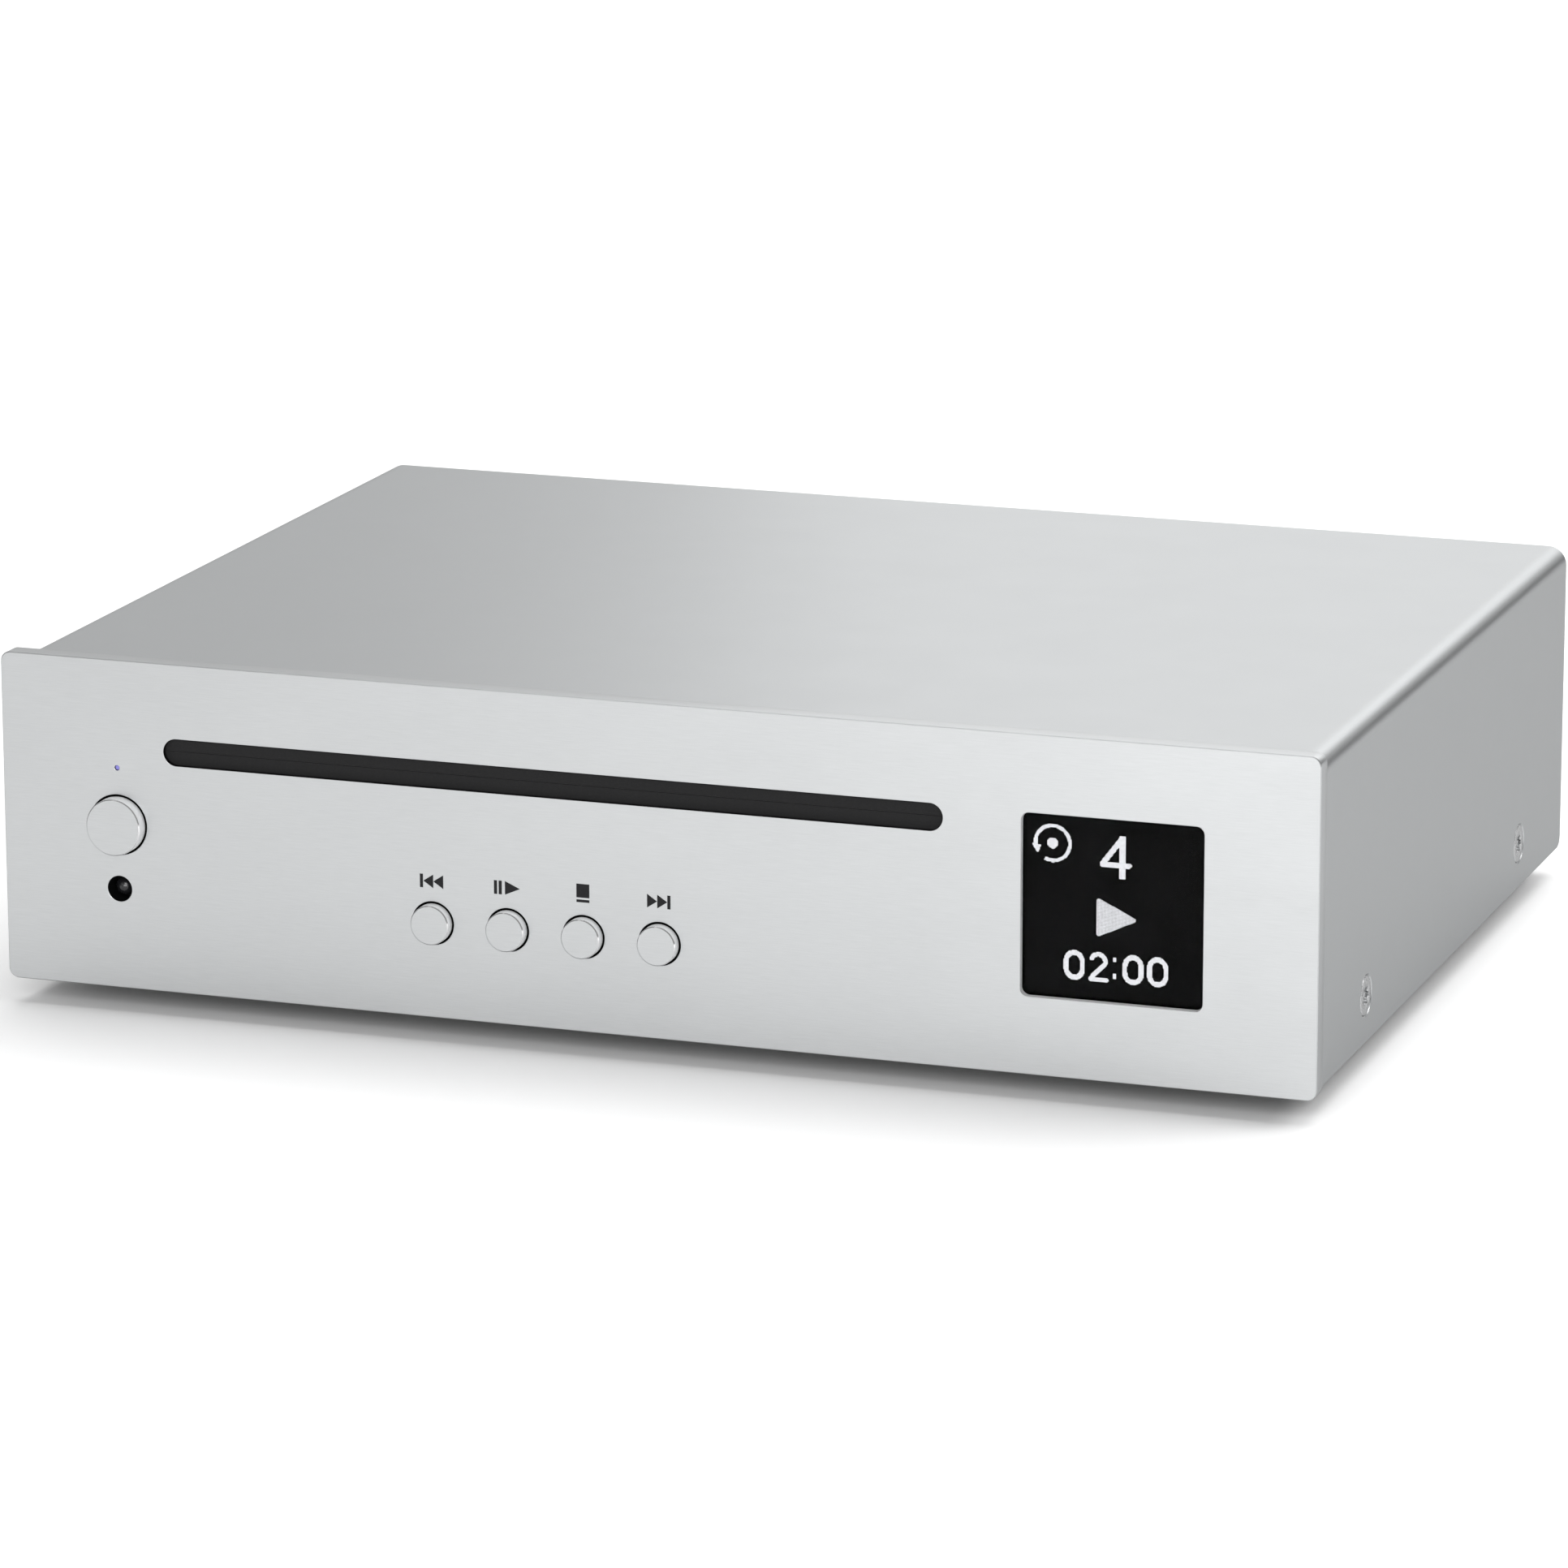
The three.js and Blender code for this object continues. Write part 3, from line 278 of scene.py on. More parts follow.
def shade(thing):
    """Marks sharp edges. Marking them makes every face smooth, so the flat faces are made flat again."""
    mesh = thing.data
    is_round = [polygon.use_smooth for polygon in mesh.polygons]
    mesh.set_sharp_from_angle(angle=radians(35))
    mesh.polygons.foreach_set("use_smooth", is_round)


def flatten_big_faces(thing):
    """Keeps the shading of large flat faces flat up to their rounded edges."""
    weighted = thing.modifiers.new("shading", "WEIGHTED_NORMAL")
    weighted.keep_sharp = True
    weighted.weight = 100


def carve(thing, *cutters):
    """Cuts solids out of a piece for good."""
    tools = [new_object("cutter", bm) for bm in cutters]
    for tool in tools:
        cut = thing.modifiers.new("cut", "BOOLEAN")
        cut.operation, cut.solver, cut.object = "DIFFERENCE", "EXACT", tool
    bpy.context.view_layer.update()
    graph = bpy.context.evaluated_depsgraph_get()
    mesh = bpy.data.meshes.new_from_object(thing.evaluated_get(graph))
    thing.modifiers.clear()
    thing.data = mesh
    for tool in tools:
        bpy.data.objects.remove(tool)


def soften(thing, width):
    """Small rounded edges, so that each edge catches the light."""
    bevel = thing.modifiers.new("edges", "BEVEL")
    bevel.width, bevel.segments = width * MM, 2
    bevel.limit_method, bevel.angle_limit = "ANGLE", radians(30)
    bevel.use_clamp_overlap = True


def add_piece(name, bm, material, node, stands_for=True, cutters=(), bevel=0):
    """A piece that rides on the node's body. If it stands for the node, the node is hidden."""
    thing = new_object(name, bm)
    if cutters:
        carve(thing, *cutters)
    thing.data.materials.clear()
    thing.data.materials.append(material)
    shade(thing)
    if bevel:
        soften(thing, bevel)
        flatten_big_faces(thing)
    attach(thing, BODY_OF[node])
    if stands_for:
        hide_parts(node)
    return thing


# ---------------------------------------------------------------- materials


class Finish:
    """A Principled material whose colour, roughness and relief come from a few textures."""

    def __init__(self, name, colour, roughness=0.5, metallic=0.0, **settings):
        self.material = bpy.data.materials.new(name)
        self.material.use_nodes = True
        self.nodes = self.material.node_tree.nodes
        self.links = self.material.node_tree.links
        self.shader = self.nodes["Principled BSDF"]
        self.set("Base Color", (*colour, 1))
        self.set("Roughness", roughness)
        self.set("Metallic", metallic)
        for socket, value in settings.items():
            self.set(socket.replace("_", " "), value)
        self.place = self.nodes.new("ShaderNodeTexCoord").outputs["Object"]
        self.normal = None

    def set(self, socket, value):
        self.shader.inputs[socket].default_value = value

    def noise(self, size, detail=3, stretch=(1, 1, 1), rough=0.55):
        """Noise whose features are about `size` millimetres, longer along an axis by `stretch`."""
        mapping = self.nodes.new("ShaderNodeMapping")
        mapping.inputs["Scale"].default_value = [1 / (size * MM * s) for s in stretch]
        texture = self.nodes.new("ShaderNodeTexNoise")
        texture.inputs["Scale"].default_value = 1
        texture.inputs["Detail"].default_value = detail
        texture.inputs["Roughness"].default_value = rough
        self.links.new(self.place, mapping.inputs["Vector"])
        self.links.new(mapping.outputs["Vector"], texture.inputs["Vector"])
        return texture.outputs["Fac"]

    def ranged(self, value, low, high, start=0.3, end=0.7):
        node = self.nodes.new("ShaderNodeMapRange")
        node.inputs["From Min"].default_value, node.inputs["From Max"].default_value = start, end
        node.inputs["To Min"].default_value, node.inputs["To Max"].default_value = low, high
        self.links.new(value, node.inputs["Value"])
        return node.outputs["Result"]

    def vary_roughness(self, value, low, high, start=0.3, end=0.7):
        self.links.new(self.ranged(value, low, high, start, end), self.shader.inputs["Roughness"])
        return self

    def vary_colour(self, value, low, high, start=0.3, end=0.7):
        mix = self.nodes.new("ShaderNodeMix")
        mix.data_type = "RGBA"
        mix.inputs["A"].default_value, mix.inputs["B"].default_value = (*low, 1), (*high, 1)
        self.links.new(self.ranged(value, 0, 1, start, end), mix.inputs["Factor"])
        self.links.new(mix.outputs["Result"], self.shader.inputs["Base Color"])
        return self

    def relief(self, value, height):
        """Bumps as deep as `height` millimetres."""
        bump = self.nodes.new("ShaderNodeBump")
        bump.inputs["Distance"].default_value = height * MM
        bump.inputs["Strength"].default_value = 1
        self.links.new(value, bump.inputs["Height"])
        if self.normal:
            self.links.new(self.normal, bump.inputs["Normal"])
        self.normal = bump.outputs["Normal"]
        self.links.new(self.normal, self.shader.inputs["Normal"])
        return self


GRAZING_TINT = (0.46, 0.46, 0.46, 1)  # blasted and anodised metal stays grey when seen from the side


def brushed_aluminium():
    finish = Finish("brushed_aluminium", (0.495, 0.505, 0.51), 0.36, 1.0, Specular_Tint=GRAZING_TINT)
    lines = finish.noise(0.16, detail=4, stretch=(28, 1, 1), rough=0.7)
    cloud = finish.noise(9, detail=2, stretch=(3, 1, 1))
    finish.vary_colour(lines, (0.475, 0.485, 0.49), (0.515, 0.525, 0.53))
    finish.vary_roughness(cloud, 0.34, 0.39)
    return finish.relief(lines, 0.004).material


def satin_aluminium():
    finish = Finish("satin_aluminium", (0.445, 0.455, 0.46), 0.34, 1.0, Specular_Tint=GRAZING_TINT)
    grain = finish.noise(0.11, detail=3, rough=0.7)
    cloud = finish.noise(14, detail=2)
    finish.vary_colour(grain, (0.435, 0.445, 0.45), (0.455, 0.465, 0.47))
    finish.vary_roughness(cloud, 0.33, 0.35)
    return finish.relief(grain, 0.004).material


def turned_aluminium():
    """A bevel cut bright by the lathe, with the tool's rings round it."""
    finish = Finish("turned_aluminium", (0.8, 0.805, 0.81), 0.16, 1.0)
    rings = finish.noise(0.07, detail=2, stretch=(30, 1, 30))
    return finish.vary_roughness(rings, 0.12, 0.2).relief(rings, 0.001).material


def milled_aluminium():
    """A cutter's matt wall, with fine marks along its depth."""
    finish = Finish("milled_aluminium", (0.88, 0.885, 0.89), 0.62, 0.6)
    marks = finish.noise(0.12, detail=3, stretch=(1, 12, 1))
    return finish.vary_roughness(marks, 0.56, 0.68).relief(marks, 0.003).material


def screw_steel():
    finish = Finish("screw_steel", (0.5, 0.505, 0.51), 0.28, 1.0, Specular_Tint=GRAZING_TINT)
    marks = finish.noise(0.3, detail=3)
    return finish.vary_roughness(marks, 0.22, 0.34).relief(marks, 0.003).material


def plated_steel():
    finish = Finish("plated_steel", (0.6, 0.6, 0.58), 0.35, 1.0)
    spangle = finish.noise(3, detail=4, stretch=(2, 1, 1))
    rolled = finish.noise(0.3, detail=3, stretch=(12, 1, 1))
    finish.vary_colour(spangle, (0.55, 0.555, 0.53), (0.66, 0.655, 0.63))
    finish.vary_roughness(spangle, 0.28, 0.42)
    return finish.relief(rolled, 0.006).material


def powder_coat():
    """Dark paint with the orange-peel skin of a baked powder."""
    finish = Finish("powder_coat", (0.02, 0.02, 0.021), 0.55)
    peel = finish.noise(0.5, detail=2)
    specks = finish.noise(0.08, detail=2)
    finish.vary_colour(specks, (0.018, 0.018, 0.019), (0.026, 0.026, 0.027))
    return finish.vary_roughness(peel, 0.5, 0.62).relief(peel, 0.02).material


def polished_steel():
    finish = Finish("polished_steel", (0.78, 0.79, 0.8), 0.18, 1.0)
    marks = finish.noise(0.25, detail=3)
    finish.vary_roughness(marks, 0.14, 0.26)
    return finish.relief(marks, 0.002).material


def motor_can():
    finish = Finish("motor_can", (0.62, 0.62, 0.6), 0.3, 1.0)
    drawn = finish.noise(0.4, detail=3, stretch=(1, 1, 14))
    finish.vary_colour(drawn, (0.58, 0.58, 0.56), (0.66, 0.66, 0.64))
    return finish.vary_roughness(drawn, 0.24, 0.38).relief(drawn, 0.004).material


def gold_contact():
    finish = Finish("gold_contact", (0.83, 0.62, 0.25), 0.2, 1.0)
    marks = finish.noise(0.3, detail=3)
    return finish.vary_roughness(marks, 0.16, 0.28).relief(marks, 0.002).material


def rubber(name, colour):
    finish = Finish(name, colour, 0.75, IOR=1.45)
    grain = finish.noise(0.18, detail=4, rough=0.7)
    dust = finish.noise(5, detail=4)
    finish.vary_colour(dust, colour, [c * 1.6 + 0.006 for c in colour], 0.45, 0.75)
    finish.vary_roughness(grain, 0.65, 0.85)
    return finish.relief(grain, 0.02).material


def lip_felt():
    finish = Finish("lip_felt", (0.011, 0.011, 0.0115), 0.95, Sheen_Weight=0.04, Specular_IOR_Level=0.3)
    fibres = finish.noise(0.09, detail=5, stretch=(2.2, 1, 1), rough=0.75)
    tufts = finish.noise(0.6, detail=3)
    finish.vary_colour(fibres, (0.0075, 0.0075, 0.0079), (0.0135, 0.0135, 0.014))
    return finish.relief(tufts, 0.03).relief(fibres, 0.04).material


def moulded(name, colour, roughness, grain_height, shine=0.5):
    finish = Finish(name, colour, roughness, Specular_IOR_Level=shine)
    grain = finish.noise(0.22, detail=3, rough=0.65)
    flow = finish.noise(12, detail=2)
    finish.vary_colour(flow, [c * 0.92 for c in colour], [min(1, c * 1.08 + 0.002) for c in colour])
    finish.vary_roughness(grain, roughness - 0.06, roughness + 0.08)
    return finish.relief(grain, grain_height).material


def window_glass():
    finish = Finish("window_glass", (0.93, 0.93, 0.95), 0.03, IOR=1.08, Transmission_Weight=1.0)
    smear = finish.noise(8, detail=3)
    return finish.vary_roughness(smear, 0.02, 0.05).material


def lens_glass():
    finish = Finish("lens_glass", (0.45, 0.5, 0.75), 0.05, IOR=1.5, Coat_Weight=0.8)
    coating = finish.noise(1.5, detail=1)
    finish.vary_colour(coating, (0.3, 0.34, 0.62), (0.5, 0.42, 0.7))
    return finish.material


def circuit_board():
    """Solder mask over tracks, which stand a little proud and lighter."""
    finish = Finish("circuit_board", (0.012, 0.09, 0.045), 0.32)
    cell = 1.3
    mapping = finish.nodes.new("ShaderNodeMapping")
    mapping.inputs["Scale"].default_value = [1 / (cell * MM)] * 3
    tracks = finish.nodes.new("ShaderNodeTexVoronoi")
    tracks.distance, tracks.feature = "CHEBYCHEV", "F1"
    tracks.inputs["Scale"].default_value = 1
    tracks.inputs["Randomness"].default_value = 0.85
    finish.links.new(finish.place, mapping.inputs["Vector"])
    finish.links.new(mapping.outputs["Vector"], tracks.inputs["Vector"])
    copper = finish.ranged(tracks.outputs["Distance"], 0, 1, 0.36, 0.4)
    finish.vary_colour(copper, (0.010, 0.075, 0.038), (0.018, 0.13, 0.062), 0, 1)
    return finish.relief(copper, 0.03).material


def ribbon():
    """A white flat cable with a conductor every millimetre across its width."""
    finish = Finish("ribbon", (0.8, 0.79, 0.74), 0.45)
    wave = finish.nodes.new("ShaderNodeTexWave")
    wave.bands_direction = "X"
    wave.inputs["Scale"].default_value = 2 * pi / (20 * MM)  # the node's waves are 2 pi / 20 long at scale 1
    finish.links.new(finish.place, wave.inputs["Vector"])
    finish.vary_colour(wave.outputs["Fac"], (0.62, 0.6, 0.55), (0.85, 0.84, 0.8))
    return finish.relief(wave.outputs["Fac"], 0.05).material


def lit(name, colour, strength, size):
    """A lamp's surface, dark when it is off. Its light is a little uneven."""
    unlit = 0.15
    finish = Finish(name, [c * unlit for c in colour], 0.4)
    finish.set("Emission Color", (*colour, 1))
    uneven = finish.noise(size, detail=1)
    level = finish.ranged(uneven, strength * 0.9, strength * 1.05)
    finish.links.new(level, finish.shader.inputs["Emission Strength"])
    return finish.material


def printed_ink():
    finish = Finish("printed_ink", (0.012, 0.012, 0.013), 0.6, Specular_IOR_Level=0.08)
    grain = finish.noise(0.1, detail=2)
    finish.vary_colour(grain, (0.010, 0.010, 0.011), (0.02, 0.02, 0.021))
    return finish.vary_roughness(grain, 0.5, 0.62).material


MATERIALS = {
    "brushed_aluminium": brushed_aluminium(),
    "satin_aluminium": satin_aluminium(),
    "plated_steel": plated_steel(),
    "powder_coat": powder_coat(),
    "polished_steel": polished_steel(),
    "foot_rubber": rubber("foot_rubber", (0.016, 0.016, 0.017)),
    "roller_rubber": rubber("roller_rubber", (0.03, 0.03, 0.031)),
    "lip_felt": lip_felt(),
    "black_plastic": moulded("black_plastic", (0.02, 0.02, 0.021), 0.48, 0.012),
    "gloss_black": moulded("gloss_black", (0.008, 0.008, 0.009), 0.16, 0.001),
    "window_glass": window_glass(),
    "lens_glass": lens_glass(),
    "indicator_lamp": lit("indicator_lamp", (0.32, 0.3, 0.85), 0.62, 0.3),
    "circuit_board": circuit_board(),
    "white_acetal": moulded("white_acetal", (0.78, 0.77, 0.72), 0.38, 0.004),
    "gold_contact": gold_contact(),
    "ribbon": ribbon(),
    "motor_can": motor_can(),
}
DISPLAY_BLACK = moulded("display_black", (0.0016, 0.0016, 0.0018), 0.35, 0.001, shine=0.01)
DISPLAY_LIGHT = lit("display_light", (0.86, 0.87, 0.88), 0.9, 0.5)
INK = printed_ink()
BRIGHT_BEVEL = turned_aluminium()
MILLED_WALL = milled_aluminium()
# Near black for the walls of the holes and the caps' sides deep in them: painted shade, where the gaps are
# dark.
PAINTED_SHADE_LINER = moulded("painted_shade_liner", (0.004, 0.004, 0.0042), 0.6, 0.002, shine=0.05)
SCREW_STEEL = screw_steel()
SOCKET_WHITE = moulded("socket_white", (0.75, 0.75, 0.73), 0.35, 0.002)
SOCKET_RED = moulded("socket_red", (0.5, 0.015, 0.012), 0.35, 0.002)
SOCKET_BLACK = moulded("socket_black", (0.02, 0.02, 0.021), 0.35, 0.002)


# ---------------------------------------------------------------- front panel

PANEL = {"corner": 1.55, "bevel": 0.14, "back_edge": 0.2}
PANEL_OVERHANG = {"left": 0.32, "right": 0.08}  # past the ends of the CAD panel
SLOT = {"width": 123.25, "height": 4.2, "web": 0.8, "edge": 0.04}
WINDOW = {"size": 27.7, "corner": 1.3, "web": 1.0, "bevel": 0.08}
LAMP_HOLE = {"radius": 0.4, "web": 1.0, "edge": 0.05, "pocket": 1.7}
HOLE_EDGE = 0.06
BUTTON_HOLE = 3.34
POWER_HOLE = 4.7
REMOTE_HOLE = 2.0
CAP = {"gap": 0.32, "bevel": 0.15, "painted_shade_depth": 0.08, "flange_front": 3.5, "flange_back": 4.4, "plunger": 1.6}
BUTTONS = ["previous_button", "play_pause_button", "stop_button", "next_button"]


def stacked(shape, *pairs):
    """Rings of one shape, from (depth, growth) pairs."""
    return [(depth, shape(growth)) for depth, growth in pairs]


def is_near(face, middle, reach_x, reach_z):
    """Whether a face's centre is within reach of a point, seen from the front."""
    away = (face.center - place(*middle)) / MM
    return abs(away.x) < reach_x and abs(away.z) < reach_z


def front_panel():
    """The plate with its holes. Slot, window and lamp hole widen into a pocket behind a thin web."""
    low, high = span("front_panel")
    back = high.y
    left, right = low.x - PANEL_OVERHANG["left"], high.x + PANEL_OVERHANG["right"]
    width, height = right - left, high.z - low.z
    middle_x, middle_z = (left + right) / 2, (low.z + high.z) / 2

    def outer(grow):
        return rounded_rectangle(width, height, PANEL["corner"], middle_x, middle_z, grow)

    back_edge = edge(back, PANEL["back_edge"], -1, True)
    outline = stacked(outer, *chamfer(0, PANEL["bevel"], 1, True), *reversed(back_edge))

    def pocketed(shape, pocket, *pairs):
        web = pairs[-1][0]
        return [*stacked(shape, *pairs), (web, pocket), (back, pocket)]

    def round_hole(node, radius):
        at = centre(node)
        pairs = [*edge(0, HOLE_EDGE, 1, False), (back, 0)]
        return stacked(lambda grow: circle(radius, at.x, at.z, grow), *pairs)

    lips_high, lips_low = span("slot_lip_upper"), span("slot_lip_lower")
    slot_x = centre("slot_lip_upper").x
    slot_z = (lips_high[0].z + lips_low[1].z) / 2
    lips = lips_high[1] - lips_low[0]

    def slot_shape(grow):
        corner = SLOT["height"] / 2
        return rounded_rectangle(SLOT["width"], SLOT["height"], corner, slot_x, slot_z, grow, steps=20)

    slot_pocket = rounded_rectangle(lips.x + 1.4, lips.z + 1, 1, slot_x, slot_z, steps=20)
    slot = pocketed(slot_shape, slot_pocket, *edge(0, SLOT["edge"], 1, False), (SLOT["web"], 0))

    glass = centre("display_glass")
    glass_size = span("display_glass")[1].x - span("display_glass")[0].x

    def window_shape(grow):
        return rounded_rectangle(WINDOW["size"], WINDOW["size"], WINDOW["corner"], glass.x, glass.z, grow)

    window_pocket = rounded_rectangle(glass_size + 0.8, glass_size + 0.8, 1, glass.x, glass.z)
    bevel = WINDOW["bevel"]
    window = pocketed(window_shape, window_pocket, (0, 0), (bevel, -bevel), (WINDOW["web"], -bevel))

    lamp = centre("power_led")

    def lamp_shape(grow):
        return circle(LAMP_HOLE["radius"], lamp.x, lamp.z, grow, steps=32)

    lamp_pocket = circle(LAMP_HOLE["pocket"], lamp.x, lamp.z, steps=32)
    lamp_edge = edge(0, LAMP_HOLE["edge"], 1, False)
    lamp_hole = pocketed(lamp_shape, lamp_pocket, *lamp_edge, (LAMP_HOLE["web"], 0))

    holes = [slot, window, lamp_hole, round_hole("power_button", POWER_HOLE)]
    holes.append(round_hole("ir_receiver", REMOTE_HOLE))
    holes += [round_hole(node, BUTTON_HOLE) for node in BUTTONS]
    bm = drilled_plate(outline, holes)
    thing = add_piece("front_panel_plate", bm, MATERIALS["brushed_aluminium"], "front_panel")
    thing.data.materials.append(MILLED_WALL)
    thing.data.materials.append(PAINTED_SHADE_LINER)
    window_reach = WINDOW["size"] / 2 + 0.1
    # Window walls get the milled finish. The walls of the slot, lamp hole, remote hole and button holes get
    # the near-black painted shade.
    for face in thing.data.polygons:
        if abs(face.normal.y) > 0.1:
            continue
        if is_near(face, glass, window_reach, window_reach):
            face.material_index = 1
        elif is_near(face, (0, 0, middle_z), high.x - 1, height / 2 - 1):
            face.material_index = 2


def button(node, hole):
    """A cap with a turned edge, its flange, and a plunger for the switch. Deeper in its hole its side is
    painted near black: painted shade in the gap round it.
    """
    low, high = span(node)
    at = centre(node)
    tip, bevel, painted_shade_depth = low.y, CAP["bevel"], CAP["painted_shade_depth"]
    cap, flange, plunger = hole - CAP["gap"], (high.x - low.x) / 2, CAP["plunger"]
    flange_front, flange_back = CAP["flange_front"], CAP["flange_back"]
    front = [(0, tip), (cap - bevel, tip), (cap, tip + bevel), (cap, painted_shade_depth), (cap, flange_front)]
    back = [(flange, flange_front), (flange, flange_back)]
    back += [(plunger, flange_back), (plunger, high.y), (0, high.y)]
    bm = turned([*front, *fillet(back, 0.1, steps=2)], (at.x, 0, at.z))
    thing = add_piece(f"{node}_cap", bm, MATERIALS["brushed_aluminium"], node)
    thing.data.materials.append(BRIGHT_BEVEL)
    thing.data.materials.append(MILLED_WALL)
    thing.data.materials.append(PAINTED_SHADE_LINER)
    # The turned bevel and milled wall come first; behind the shade depth the cap is near black, which is
    # painted shade in the gap.
    for face in thing.data.polygons:
        if face.center.y > FRONT + painted_shade_depth * MM:
            face.material_index = 3
        elif abs(face.normal.y) < 0.9:
            face.material_index = 1 if abs(face.normal.y) > 0.1 else 2


def slot_lip(node, inwards):
    """A felt strip. Its free edge, along the slit, is rounded and a little ragged."""
    low, high = span(node)
    bm = bmesh.new()
    columns, rows = 520, 26
    past_slit, round_over, setback = 0.1, 0.1, 0.06
    slit, root = (low.z - past_slit, high.z) if inwards < 0 else (high.z + past_slit, low.z)

    def front(u, v):
        """A point of the front face: u runs along the strip and v from its free edge."""
        x = low.x + u * (high.x - low.x)
        z = slit + v * (root - slit)
        away = abs(z - slit)
        drop = round_over - sqrt(max(0, round_over**2 - (round_over - min(away, round_over)) ** 2))
        ripple = 0.02 * sin(x * 5.3) * sin(x * 1.7 + 2) + 0.01 * sin(x * 23 + away * 9) * sin(x * 11.7)
        return (x, low.y + drop + setback + ripple, z)

    grid = []
    for row in range(rows + 1):
        share = (row / rows) ** 1.6
        grid.append([bm.verts.new(front(column / columns, share)) for column in range(columns + 1)])
    for row in range(rows):
        for column in range(columns):
            corners = grid[row][column : column + 2] + grid[row + 1][column : column + 2][::-1]
            bm.faces.new(corners).smooth = True
    rim = [*grid[0], *[row[-1] for row in grid[1:]], *reversed(grid[-1][:-1])]
    rim += [row[0] for row in reversed(grid[1:-1])]
    backs = [bm.verts.new((vert.co.x, high.y, vert.co.z)) for vert in rim]
    bridge(bm, rim, backs)
    bm.faces.new(backs)
    bmesh.ops.recalc_face_normals(bm, faces=bm.faces)
    add_piece(f"{node}_felt", bm, MATERIALS["lip_felt"], node)


# ---------------------------------------------------------------- symbols over the buttons

SYMBOL = {"height": 2.1, "above": 6.45, "thick": 0.015, "sunk": 0.005}


def symbols():
    """Printed transport signs, each drawn from its button's centre line and the height of the row."""
    half = SYMBOL["height"] / 2
    bar = 0.5

    def stripe(x):
        return box_outline(x, -half, x + bar, half)

    def arrow(x, length):
        return [(x, -half), (x + length, 0), (x, half)]

    previous = [stripe(-2.0), arrow(0.13, -1.58), arrow(1.73, -1.58)]
    play_pause = [stripe(-2.15), stripe(-1.4), arrow(-0.4, 2.38)]
    stop = [box_outline(-1.05, -half + 0.6, 1.0, half + 0.6)]
    stop.append(box_outline(-1.05, -half - 0.12, 1.0, -half + 0.3))
    following = [arrow(-1.9, 1.58), arrow(-0.3, 1.58), stripe(1.28)]
    bm = bmesh.new()
    for node, shapes in zip(BUTTONS, [previous, play_pause, stop, following]):
        at = centre(node)
        for shape in shapes:
            outline = [(at.x + x, at.z + SYMBOL["above"] + z) for x, z in shape]
            prism(outline, -SYMBOL["thick"], SYMBOL["sunk"], bm=bm)
    thing = add_piece("transport_symbols", bm, INK, "front_panel", stands_for=False)


# ---------------------------------------------------------------- display

DOT = {"pitch": 0.16, "size": 0.148, "dim_size": 0.132, "thick": 0.03, "clear": 0.002}
SCREEN = {"past_window": 0.6, "back": 5.2, "board_front": 5.25, "board_back": 6.6, "plug_front": 6.65}


def near_line(x, z, a, b, half):
    """Whether a point is within `half` of the line from a to b."""
    start, end, here = Vector(a), Vector(b), Vector((x, z))
    along = end - start
    share = max(0, min(1, (here - start).dot(along) / along.length_squared))
    return (here - start - along * share).length <= half


def near_arc(x, z, middle, radius, first, last, half):
    """Whether a point is within `half` of an arc from angle `first` to `last`, in degrees anticlockwise."""
    dx, dz = x - middle[0], z - middle[1]
    angle = (atan2(dz, dx) * 180 / pi - first) % 360
    return abs(hypot(dx, dz) - radius) <= half and angle <= last - first


def in_triangle(x, z, corners):
    signs = []
    for n, (ax, az) in enumerate(corners):
        bx, bz = corners[(n + 1) % 3]
        signs.append((bx - ax) * (z - az) - (bz - az) * (x - ax) > 0)
    return all(signs) or not any(signs)


def digit_zero(x, z):
    """Width 3.3 and height 4.5, with its middle at the origin."""
    side, straight, half = 1.24, 0.5, 0.36
    if abs(z) <= straight:
        return abs(abs(x) - side) <= half
    return abs(hypot(x / side, (abs(z) - straight) / 1.35) - 1) * side <= half


def digit_two(x, z):
    half = 0.34
    bowl = near_arc(x, z, (0.05, 0.85), 1.05, -25, 172, half)
    neck = near_line(x, z, (0.98, 0.4), (-1.15, -1.8), half)
    return (bowl or neck or near_line(x, z, (-1.1, -1.85), (1.25, -1.85), half)) and z > -2.25


def digit_four(x, z):
    """Height 6.4, with the foot of its stem at the origin."""
    half = 0.42
    stem = abs(x) <= half and 0 <= z <= 6.3
    slope = near_line(x, z, (-0.1, 5.95), (-3.0, 2.1), 0.4)
    bar = near_line(x, z, (-3.0, 2.0), (0.95, 2.0), 0.42)
    return stem or (slope and x < half and z <= 6.4) or bar


def play_sign(x, z):
    """A triangle with rounded corners, its middle at the origin."""
    corners = [(-2.55, 2.45), (-2.55, -2.45), (2.6, 0)]
    inside = in_triangle(x, z, corners)
    return inside or any(near_line(x, z, corners[n], corners[n - 1], 0.35) for n in range(3))


def repeat_sign(x, z):
    """A dot in an open ring that ends in an arrowhead, its middle at the origin."""
    ring = near_arc(x, z, (0, 0), 2.6, -117, 188, 0.27)
    head = in_triangle(x, z, [(-3.15, -0.25), (-1.7, -0.4), (-2.25, -1.7)])
    return ring or head or hypot(x, z) <= 0.82


def dot_size(x, z):
    """The size of the display's dot at a point from the middle of the window, or 0 where it is dark."""
    if play_sign(x - 0.15, z + 1.45):
        return DOT["dim_size"]
    is_lit = (
        repeat_sign(x + 9.5, z - 9.1)
        or digit_four(x - 1.05, z - 4.6)
        or digit_zero(x + 6.1, z + 8.9)
        or digit_two(x + 2.5, z + 8.9)
        or digit_zero(x - 2.8, z + 8.9)
        or digit_zero(x - 6.5, z + 8.9)
        or (abs(x) <= 0.3 and (abs(z + 7.6) <= 0.36 or abs(z + 10.05) <= 0.36))
    )
    return DOT["size"] if is_lit else 0


